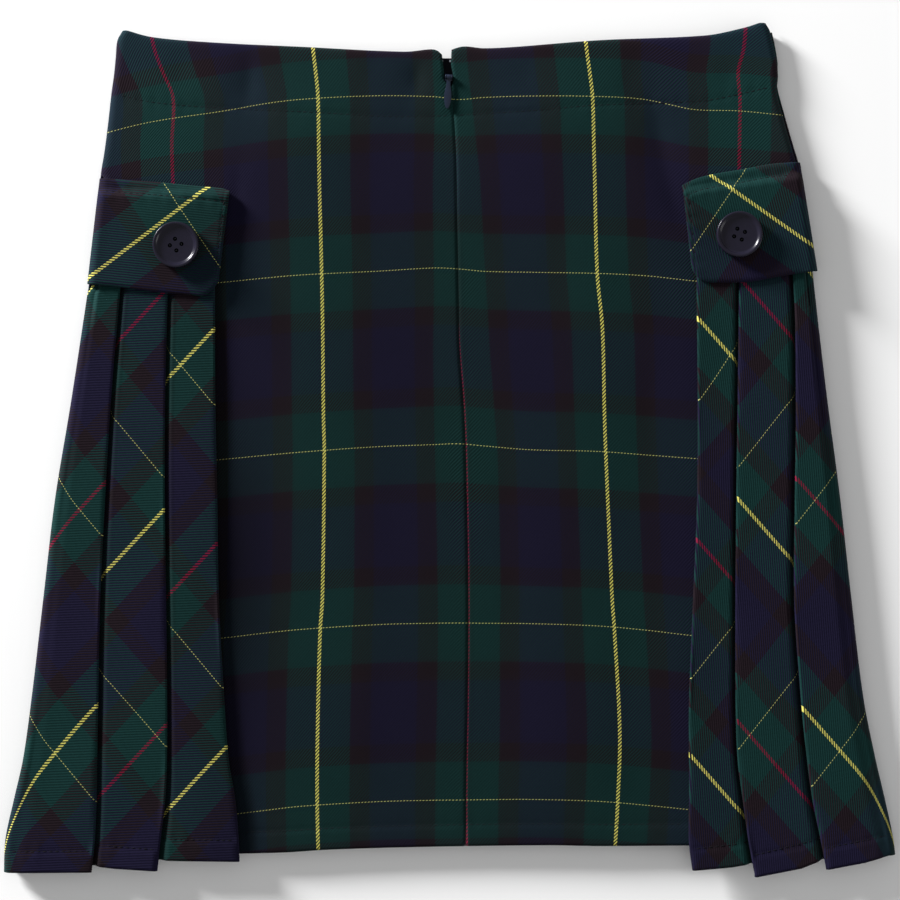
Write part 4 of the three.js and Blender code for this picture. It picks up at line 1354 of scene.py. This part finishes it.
def twill_group():
    """Diagonal twill: which set of yarns shows, and the ribs' height."""
    shader, given, out = new_group(
        "Twill weave",
        {"Vector": None, "Warp pitch": 0.0016, "Weft pitch": 0.0018},
        ["Weft shows", "Height", "Yarn"],
    )
    parts = shader.add("ShaderNodeSeparateXYZ")
    shader.link(given["Vector"], parts.inputs[0])
    wander = shader.spread(shader.noise(given["Vector"], 260.0), -0.1, 0.1)
    across = shader.math("DIVIDE", parts.outputs[0], given["Warp pitch"])
    along = shader.math("DIVIDE", parts.outputs[1], given["Weft pitch"])
    phase = shader.math("FRACT", shader.math("ADD", shader.math("SUBTRACT", across, along), wander))
    wave = shader.math("SINE", shader.math("MULTIPLY", phase, 2 * math.pi))
    shader.link(shader.math("MULTIPLY_ADD", wave, 1.6, 0.46, clamp=True), out["Weft shows"])
    yarns = shader.math("SINE", shader.math("MULTIPLY", shader.math("ADD", across, along), 4 * math.pi))
    ribs = shader.math("MULTIPLY", wave, -0.5)
    shader.link(shader.math("MULTIPLY_ADD", yarns, 0.12, ribs), out["Height"])
    shader.link(shader.spread(shader.noise(given["Vector"], 900.0, 3.0), 0.0, 1.0), out["Yarn"])
    return shader.tree


def tartan_group(settings):
    """The tartan's colours in cloth coordinates, with painted light, painted shade and painted rib shading
    laid on them.
    """
    shader, given, out = new_group(
        "Tartan sett",
        {"Vector": None, "Weft shows": 0.5, "Rib": 0.0, "Yarn": 0.5, "Fade": 1.0, "Shade": 1.0},
        ["Color"],
    )
    names = ("green", "navy", "black", "yellow", "thin", "red")
    colours = {name: (*getattr(settings, name), 1.0) for name in names}
    parts = shader.add("ShaderNodeSeparateXYZ")
    shader.link(given["Vector"], parts.inputs[0])
    sides = []
    repeats = (2 * WARP_HALF * MM, WEFT_REPEAT * MM)
    for axis, stripes, offset in ((0, WARP_STRIPES, 0.25), (1, WEFT_STRIPES, 0.5)):
        turns = shader.math("MULTIPLY_ADD", parts.outputs[axis], 1 / repeats[axis], offset)
        sides.append(stripe_ramp(shader, shader.math("FRACT", turns), stripes, colours))
    woven = shader.mix(given["Weft shows"], sides[0], sides[1])
    uneven = shader.spread(shader.noise(given["Vector"], 60.0), 0.92, 1.08)
    tone = shader.math("MULTIPLY", shader.spread(given["Yarn"], 0.78, 1.22), uneven)
    # Painted shade in the valleys between the twill's ribs and painted highlight on their crests
    tone = shader.math("MULTIPLY", tone, shader.math("MULTIPLY_ADD", given["Rib"], 0.4, 1.0))
    # Painted light: the ground colours, but not the bright lines, are lightened towards the waist and the
    # sides
    bright = shader.add("ShaderNodeSeparateColor")
    shader.link(woven, bright.inputs[0])
    line = shader.math("MULTIPLY", bright.outputs[0], 12.0, clamp=True)
    painted_lift = shader.math("SUBTRACT", given["Fade"], 1.0)
    ground = shader.math("SUBTRACT", 1.0, line)
    tone = shader.math("MULTIPLY", tone, shader.math("MULTIPLY_ADD", painted_lift, ground, 1.0))
    # Painted shade beside folds and seams darkens the colour
    tone = shader.math("MULTIPLY", tone, given["Shade"])
    shader.link(shader.tint(woven, tone), out["Color"])
    return shader.tree


def wear_group():
    """A tone that varies softly over a surface, for plain materials."""
    shader, given, out = new_group(
        "Soft wear",
        {"Vector": None, "Color": (0.5, 0.5, 0.5, 1), "Scale": 200.0, "Amount": 0.2},
        ["Color", "Height"],
    )
    noise = shader.add("ShaderNodeTexNoise")
    noise.inputs["Detail"].default_value = 4.0
    shader.link(given["Vector"], noise.inputs["Vector"])
    shader.link(given["Scale"], noise.inputs["Scale"])
    uneven = shader.math("SUBTRACT", noise.outputs["Fac"], 0.5)
    tone = shader.math("MULTIPLY_ADD", uneven, given["Amount"], 1.0)
    shader.link(shader.tint(given["Color"], tone), out["Color"])
    shader.link(noise.outputs["Fac"], out["Height"])
    return shader.tree


def painted_light_and_shade_group():
    """Painted light: a lighter tone of the cloth towards the waist and the sides, where more light falls;
    the group also passes on the painted shade.
    """
    shader, given, out = new_group(
        "Cloth fade",
        {"Vector": None, "Shelter": 0.0, "At waist": 0.20, "At sides": 0.35},
        ["Tone", "Shade"],
    )
    parts = shader.add("ShaderNodeSeparateXYZ")
    shader.link(given["Vector"], parts.inputs[0])
    sides = shader.ramp(shader.math("ABSOLUTE", parts.outputs[0]), 0.09, 0.16)
    waist = shader.ramp(parts.outputs[1], 0.10, 0.19)
    tone = shader.math("MULTIPLY_ADD", sides, given["At sides"], 1.0)
    tone = shader.math("MULTIPLY_ADD", waist, given["At waist"], tone)
    shader.link(tone, out["Tone"])
    # Painted shade: the colour darkens by up to 0.6 where folds and seams shade the cloth
    shader.link(shader.math("MULTIPLY_ADD", given["Shelter"], -0.6, 1.0), out["Shade"])
    return shader.tree


def new_material(name, roughness, **sockets):
    material = bpy.data.materials.new(name)
    material.use_nodes = True
    principled = material.node_tree.nodes["Principled BSDF"]
    principled.inputs["Roughness"].default_value = roughness
    for label, value in sockets.items():
        principled.inputs[label.replace("_", " ")].default_value = value
    return material, Shader(material.node_tree), principled


def place_group(shader, tree, **values):
    node = shader.add("ShaderNodeGroup", node_tree=tree)
    for label, value in values.items():
        shader.feed(node.inputs[label.replace("_", " ")], value)
    return node


def place_wear(shader, vector, colour, scale, amount):
    tree = bpy.data.node_groups["Soft wear"]
    return place_group(shader, tree, Vector=vector, Color=(*colour, 1.0), Scale=scale, Amount=amount)


def add_bump(shader, principled, height, distance, strength):
    bump = shader.add("ShaderNodeBump")
    bump.inputs["Distance"].default_value = distance
    bump.inputs["Strength"].default_value = strength
    shader.link(height, bump.inputs["Height"])
    shader.link(bump.outputs["Normal"], principled.inputs["Normal"])


def make_tartan(settings):
    material, shader, principled = new_material(
        "Tartan twill", 0.9, Sheen_Weight=0.02, Sheen_Roughness=0.5, Specular_IOR_Level=0.06
    )
    cloth = shader.add("ShaderNodeUVMap", uv_map="cloth").outputs["UV"]
    pitch = dict(Warp_pitch=settings.warp_pitch * MM, Weft_pitch=settings.weft_pitch * MM)
    twill = place_group(shader, twill_group(), Vector=cloth, **pitch)
    where = shader.add("ShaderNodeTexCoord").outputs["Object"]
    # Painted shade beside folds and seams, read from the mesh
    shelter = shader.add("ShaderNodeAttribute", attribute_name="shelter").outputs["Fac"]
    # Painted light towards the waist and sides, and painted shade
    painted_light_and_shade = place_group(shader, painted_light_and_shade_group(), Vector=where, Shelter=shelter)
    # The ribs' height also gives their painted shade and highlight
    woven = dict(
        Weft_shows=twill.outputs["Weft shows"],
        Rib=twill.outputs["Height"],
        Yarn=twill.outputs["Yarn"],
    )
    painted = dict(Fade=painted_light_and_shade.outputs["Tone"], Shade=painted_light_and_shade.outputs["Shade"])
    sett = place_group(shader, tartan_group(settings), Vector=cloth, **woven, **painted)
    shader.link(sett.outputs["Color"], principled.inputs["Base Color"])
    add_bump(shader, principled, twill.outputs["Height"], 0.0002, 0.45)
    return material


def make_plain_cloth(name, colour, pitch):
    material, shader, principled = new_material(name, 0.9, Sheen_Weight=0.02, Specular_IOR_Level=0.08)
    cloth = shader.add("ShaderNodeUVMap", uv_map="cloth").outputs["UV"]
    weave = dict(Warp_pitch=pitch * MM, Weft_pitch=pitch * MM)
    twill = place_group(shader, bpy.data.node_groups["Twill weave"], Vector=cloth, **weave)
    wear = place_wear(shader, cloth, colour, 400.0, 0.35)
    shader.link(wear.outputs["Color"], principled.inputs["Base Color"])
    add_bump(shader, principled, twill.outputs["Height"], 0.0001, 0.5)
    return material


def make_hard_material(name, colour, roughness, scale, bump, **sockets):
    material, shader, principled = new_material(name, roughness, **sockets)
    where = shader.add("ShaderNodeTexCoord").outputs["Object"]
    wear = place_wear(shader, where, colour, scale, 0.3)
    shader.link(wear.outputs["Color"], principled.inputs["Base Color"])
    add_bump(shader, principled, wear.outputs["Height"], bump, 0.4)
    return material


def colour_property(name, description, default):
    return FloatVectorProperty(
        name=name, description=description, default=default, subtype="COLOR", min=0.0, max=1.0
    )


class SkortClothSettings(bpy.types.PropertyGroup):
    """Colours and weave of the cloth."""

    green: colour_property("Green", "Yarn of the broad green stripes", (0.0028, 0.0166, 0.0156))
    navy: colour_property("Navy", "Yarn of the navy stripes", (0.0054, 0.0044, 0.0153))
    black: colour_property("Black", "Yarn of the brown-black stripes", (0.0070, 0.0040, 0.0060))
    yellow: colour_property("Yellow", "Yarn of the yellow warp lines", (0.44, 0.41, 0.09))
    thin: colour_property("Thin yellow", "Yarn of the yellow weft lines", (0.40, 0.40, 0.13))
    red: colour_property("Red", "Yarn of the crimson lines", (0.120, 0.006, 0.022))
    warp_pitch: FloatProperty(
        name="Warp pitch", description="Distance of the ribs along a weft yarn, mm", default=1.6
    )
    weft_pitch: FloatProperty(
        name="Weft pitch", description="Distance of the ribs along a warp yarn, mm", default=1.8
    )
    shorts: colour_property("Shorts", "Plain cloth of the built-in shorts", (0.006, 0.0055, 0.013))
    tape: colour_property("Zip tape", "Woven tape of the zip", (0.0035, 0.0035, 0.0065))
    thread: colour_property("Thread", "Sewing thread", (0.0045, 0.0045, 0.0065))


class SkortTrimSettings(bpy.types.PropertyGroup):
    """Colours of the hard pieces."""

    button: colour_property("Button", "Navy plastic", (0.0085, 0.0075, 0.0160))
    enamel: colour_property("Zip enamel", "Enamel of the slider and its pull tab", (0.0085, 0.0140, 0.0290))
    steel: colour_property("Top stops", "Bare metal of the zip's top stops", (0.45, 0.48, 0.53))


class SkortStageSettings(bpy.types.PropertyGroup):
    """Camera and light."""

    camera_height: FloatProperty(
        name="Camera height", description="Above the surface", default=1.0685, unit="LENGTH"
    )
    lens: FloatProperty(name="Lens", description="Focal length in mm", default=85.0)
    key_distance: FloatProperty(
        name="Key distance", description="From the garment", default=4.0, unit="LENGTH"
    )
    key_size: FloatProperty(name="Key size", description="Across the disc", default=1.0, unit="LENGTH")
    key_power: FloatProperty(name="Key power", description="In watts", default=490.0, unit="POWER")
    fill_power: FloatProperty(name="Fill power", description="In watts", default=35.0, unit="POWER")
    ambient: FloatProperty(name="Ambient", description="Strength of the light from all round", default=0.41)
    floor: colour_property("Floor", "Colour of the surface", (0.88, 0.88, 0.88))


CLOTHS = {}


def materials(context):
    """The materials, made once and shared by all operators."""
    made = {m.name: m for m in bpy.data.materials}
    if "Tartan twill" in made:
        return made
    cloth, trim = context.scene.skort_cloth, context.scene.skort_trim
    make_tartan(cloth)
    wear_group()
    make_plain_cloth("Shorts cloth", cloth.shorts, 0.9)
    make_plain_cloth("Zip tape", cloth.tape, 0.7)
    make_hard_material("Sewing thread", cloth.thread, 0.8, 3000.0, 0.00005, Specular_IOR_Level=0.1)
    make_hard_material("Button plastic", trim.button, 0.26, 500.0, 0.00001, Specular_IOR_Level=0.22)
    make_hard_material("Zip enamel", trim.enamel, 0.24, 700.0, 0.00001, Specular_IOR_Level=0.3)
    make_hard_material("Bright metal", trim.steel, 0.25, 900.0, 0.00001, Metallic=1.0)
    return {m.name: m for m in bpy.data.materials}


class SKORT_OT_front(bpy.types.Operator):
    """Makes the skirt's front panel, flat on the surface"""

    bl_idname = "skort.front"
    bl_label = "Front panel"

    def execute(self, context):
        make_front(materials(context)["Tartan twill"])
        return {"FINISHED"}


class SKORT_OT_shorts(bpy.types.Operator):
    """Makes the four panels of the built-in shorts"""

    bl_idname = "skort.shorts"
    bl_label = "Shorts"

    def execute(self, context):
        cloth = materials(context)["Shorts cloth"]
        for half in HALVES.values():
            make_shorts(half, SHORTS_FRONT, "front", cloth)
            make_shorts(half, SHORTS_BACK, "back", cloth)
        return {"FINISHED"}


class SKORT_OT_back(bpy.types.Operator):
    """Makes the two back halves, yoke and centre panel in one"""

    bl_idname = "skort.back"
    bl_label = "Back panels"

    def execute(self, context):
        for half in HALVES.values():
            CLOTHS[f"back_{half.name}"] = make_back(half, materials(context)["Tartan twill"])
        return {"FINISHED"}


class SKORT_OT_pleats(bpy.types.Operator):
    """Makes the two bias-cut inserts with their knife pleats"""

    bl_idname = "skort.pleats"
    bl_label = "Pleats"

    def execute(self, context):
        for half in HALVES.values():
            CLOTHS[f"pleats_{half.name}"] = make_pleats(half, materials(context)["Tartan twill"])
        return {"FINISHED"}


class SKORT_OT_tabs(bpy.types.Operator):
    """Makes the doubled tabs over the tops of the pleats"""

    bl_idname = "skort.tabs"
    bl_label = "Tabs"

    def execute(self, context):
        for half in HALVES.values():
            CLOTHS[f"tab_{half.name}"] = make_tab(half, materials(context)["Tartan twill"])
        return {"FINISHED"}


class SKORT_OT_buttons(bpy.types.Operator):
    """Makes the two four-hole buttons and their thread"""

    bl_idname = "skort.buttons"
    bl_label = "Buttons"

    def execute(self, context):
        made = materials(context)
        for half in HALVES.values():
            make_button(half, made["Button plastic"], made["Sewing thread"])
        return {"FINISHED"}


class SKORT_OT_zip(bpy.types.Operator):
    """Makes the zip: tape, teeth, stops, slider and pull tab"""

    bl_idname = "skort.zip"
    bl_label = "Zip"

    def execute(self, context):
        made = materials(context)
        make_zip(made["Zip tape"], made["Zip enamel"], made["Bright metal"])
        return {"FINISHED"}


class SKORT_OT_stitching(bpy.types.Operator):
    """Sews the topstitching of the waist, hems and tabs"""

    bl_idname = "skort.stitching"
    bl_label = "Topstitching"

    def execute(self, context):
        for half in HALVES.values():
            make_stitching(half, CLOTHS, materials(context)["Sewing thread"])
        return {"FINISHED"}


def add_area_light(name, direction, distance, size, power):
    """A round light that faces the garment's middle from a direction."""
    data = bpy.data.lights.new(name, "AREA")
    data.shape = "DISK"
    data.size = size
    data.energy = power
    light = add_object(name, data)
    light.location = Vector(direction).normalized() * distance
    light.rotation_euler = (-light.location).to_track_quat("-Z", "Y").to_euler()


class SKORT_OT_stage(bpy.types.Operator):
    """Sets the pale floor, the light and the camera that looks straight down"""

    bl_idname = "skort.stage"
    bl_label = "Stage"

    def execute(self, context):
        stage = context.scene.skort_stage
        deselect()
        bpy.ops.mesh.primitive_plane_add(size=FLOOR_SIZE, location=(0, 0, 0))
        floor = context.active_object
        floor.name = "floor"
        material, _, principled = new_material("Floor", 0.9)
        principled.inputs["Base Color"].default_value = (*stage.floor, 1.0)
        floor.data.materials.append(material)
        world = bpy.data.worlds.new("Studio")
        context.scene.world = world
        world.use_nodes = True
        background = world.node_tree.nodes["Background"]
        background.inputs["Color"].default_value = (1, 1, 1, 1)
        background.inputs["Strength"].default_value = stage.ambient
        distance, size = stage.key_distance, stage.key_size
        add_area_light("key", KEY_DIRECTION, distance, size, stage.key_power)
        add_area_light("fill", FILL_DIRECTION, distance, 2 * size, stage.fill_power)
        context.scene.view_settings.view_transform = "Standard"
        data = bpy.data.cameras.new("camera")
        data.lens = stage.lens
        camera = add_object("camera", data)
        camera.location = (CAMERA_X, CAMERA_Y, stage.camera_height)
        context.scene.camera = camera
        return {"FINISHED"}


OPERATORS = (
    SKORT_OT_stage,
    SKORT_OT_front,
    SKORT_OT_shorts,
    SKORT_OT_back,
    SKORT_OT_pleats,
    SKORT_OT_tabs,
    SKORT_OT_buttons,
    SKORT_OT_zip,
    SKORT_OT_stitching,
)


class SKORT_PT_panel(bpy.types.Panel):
    """Lists the skort's pieces and settings"""

    bl_idname = "SKORT_PT_panel"
    bl_label = "Skort"
    bl_space_type = "VIEW_3D"
    bl_region_type = "UI"
    bl_category = "Skort"

    def draw(self, context):
        for operator in OPERATORS:
            self.layout.operator(operator.bl_idname)
        for group in (context.scene.skort_cloth, context.scene.skort_trim, context.scene.skort_stage):
            for name in group.__annotations__:
                self.layout.prop(group, name)


CLASSES = (SkortClothSettings, SkortTrimSettings, SkortStageSettings, *OPERATORS, SKORT_PT_panel)


def register():
    for cls in CLASSES:
        bpy.utils.register_class(cls)
    bpy.types.Scene.skort_cloth = PointerProperty(type=SkortClothSettings)
    bpy.types.Scene.skort_trim = PointerProperty(type=SkortTrimSettings)
    bpy.types.Scene.skort_stage = PointerProperty(type=SkortStageSettings)


def unregister():
    del bpy.types.Scene.skort_stage
    del bpy.types.Scene.skort_trim
    del bpy.types.Scene.skort_cloth
    for cls in reversed(CLASSES):
        bpy.utils.unregister_class(cls)


def main():
    register()
    bpy.ops.skort.stage()
    bpy.ops.skort.front()
    bpy.ops.skort.shorts()
    bpy.ops.skort.back()
    bpy.ops.skort.pleats()
    bpy.ops.skort.tabs()
    bpy.ops.skort.buttons()
    bpy.ops.skort.zip()
    bpy.ops.skort.stitching()


if __name__ == "__main__":
    main()
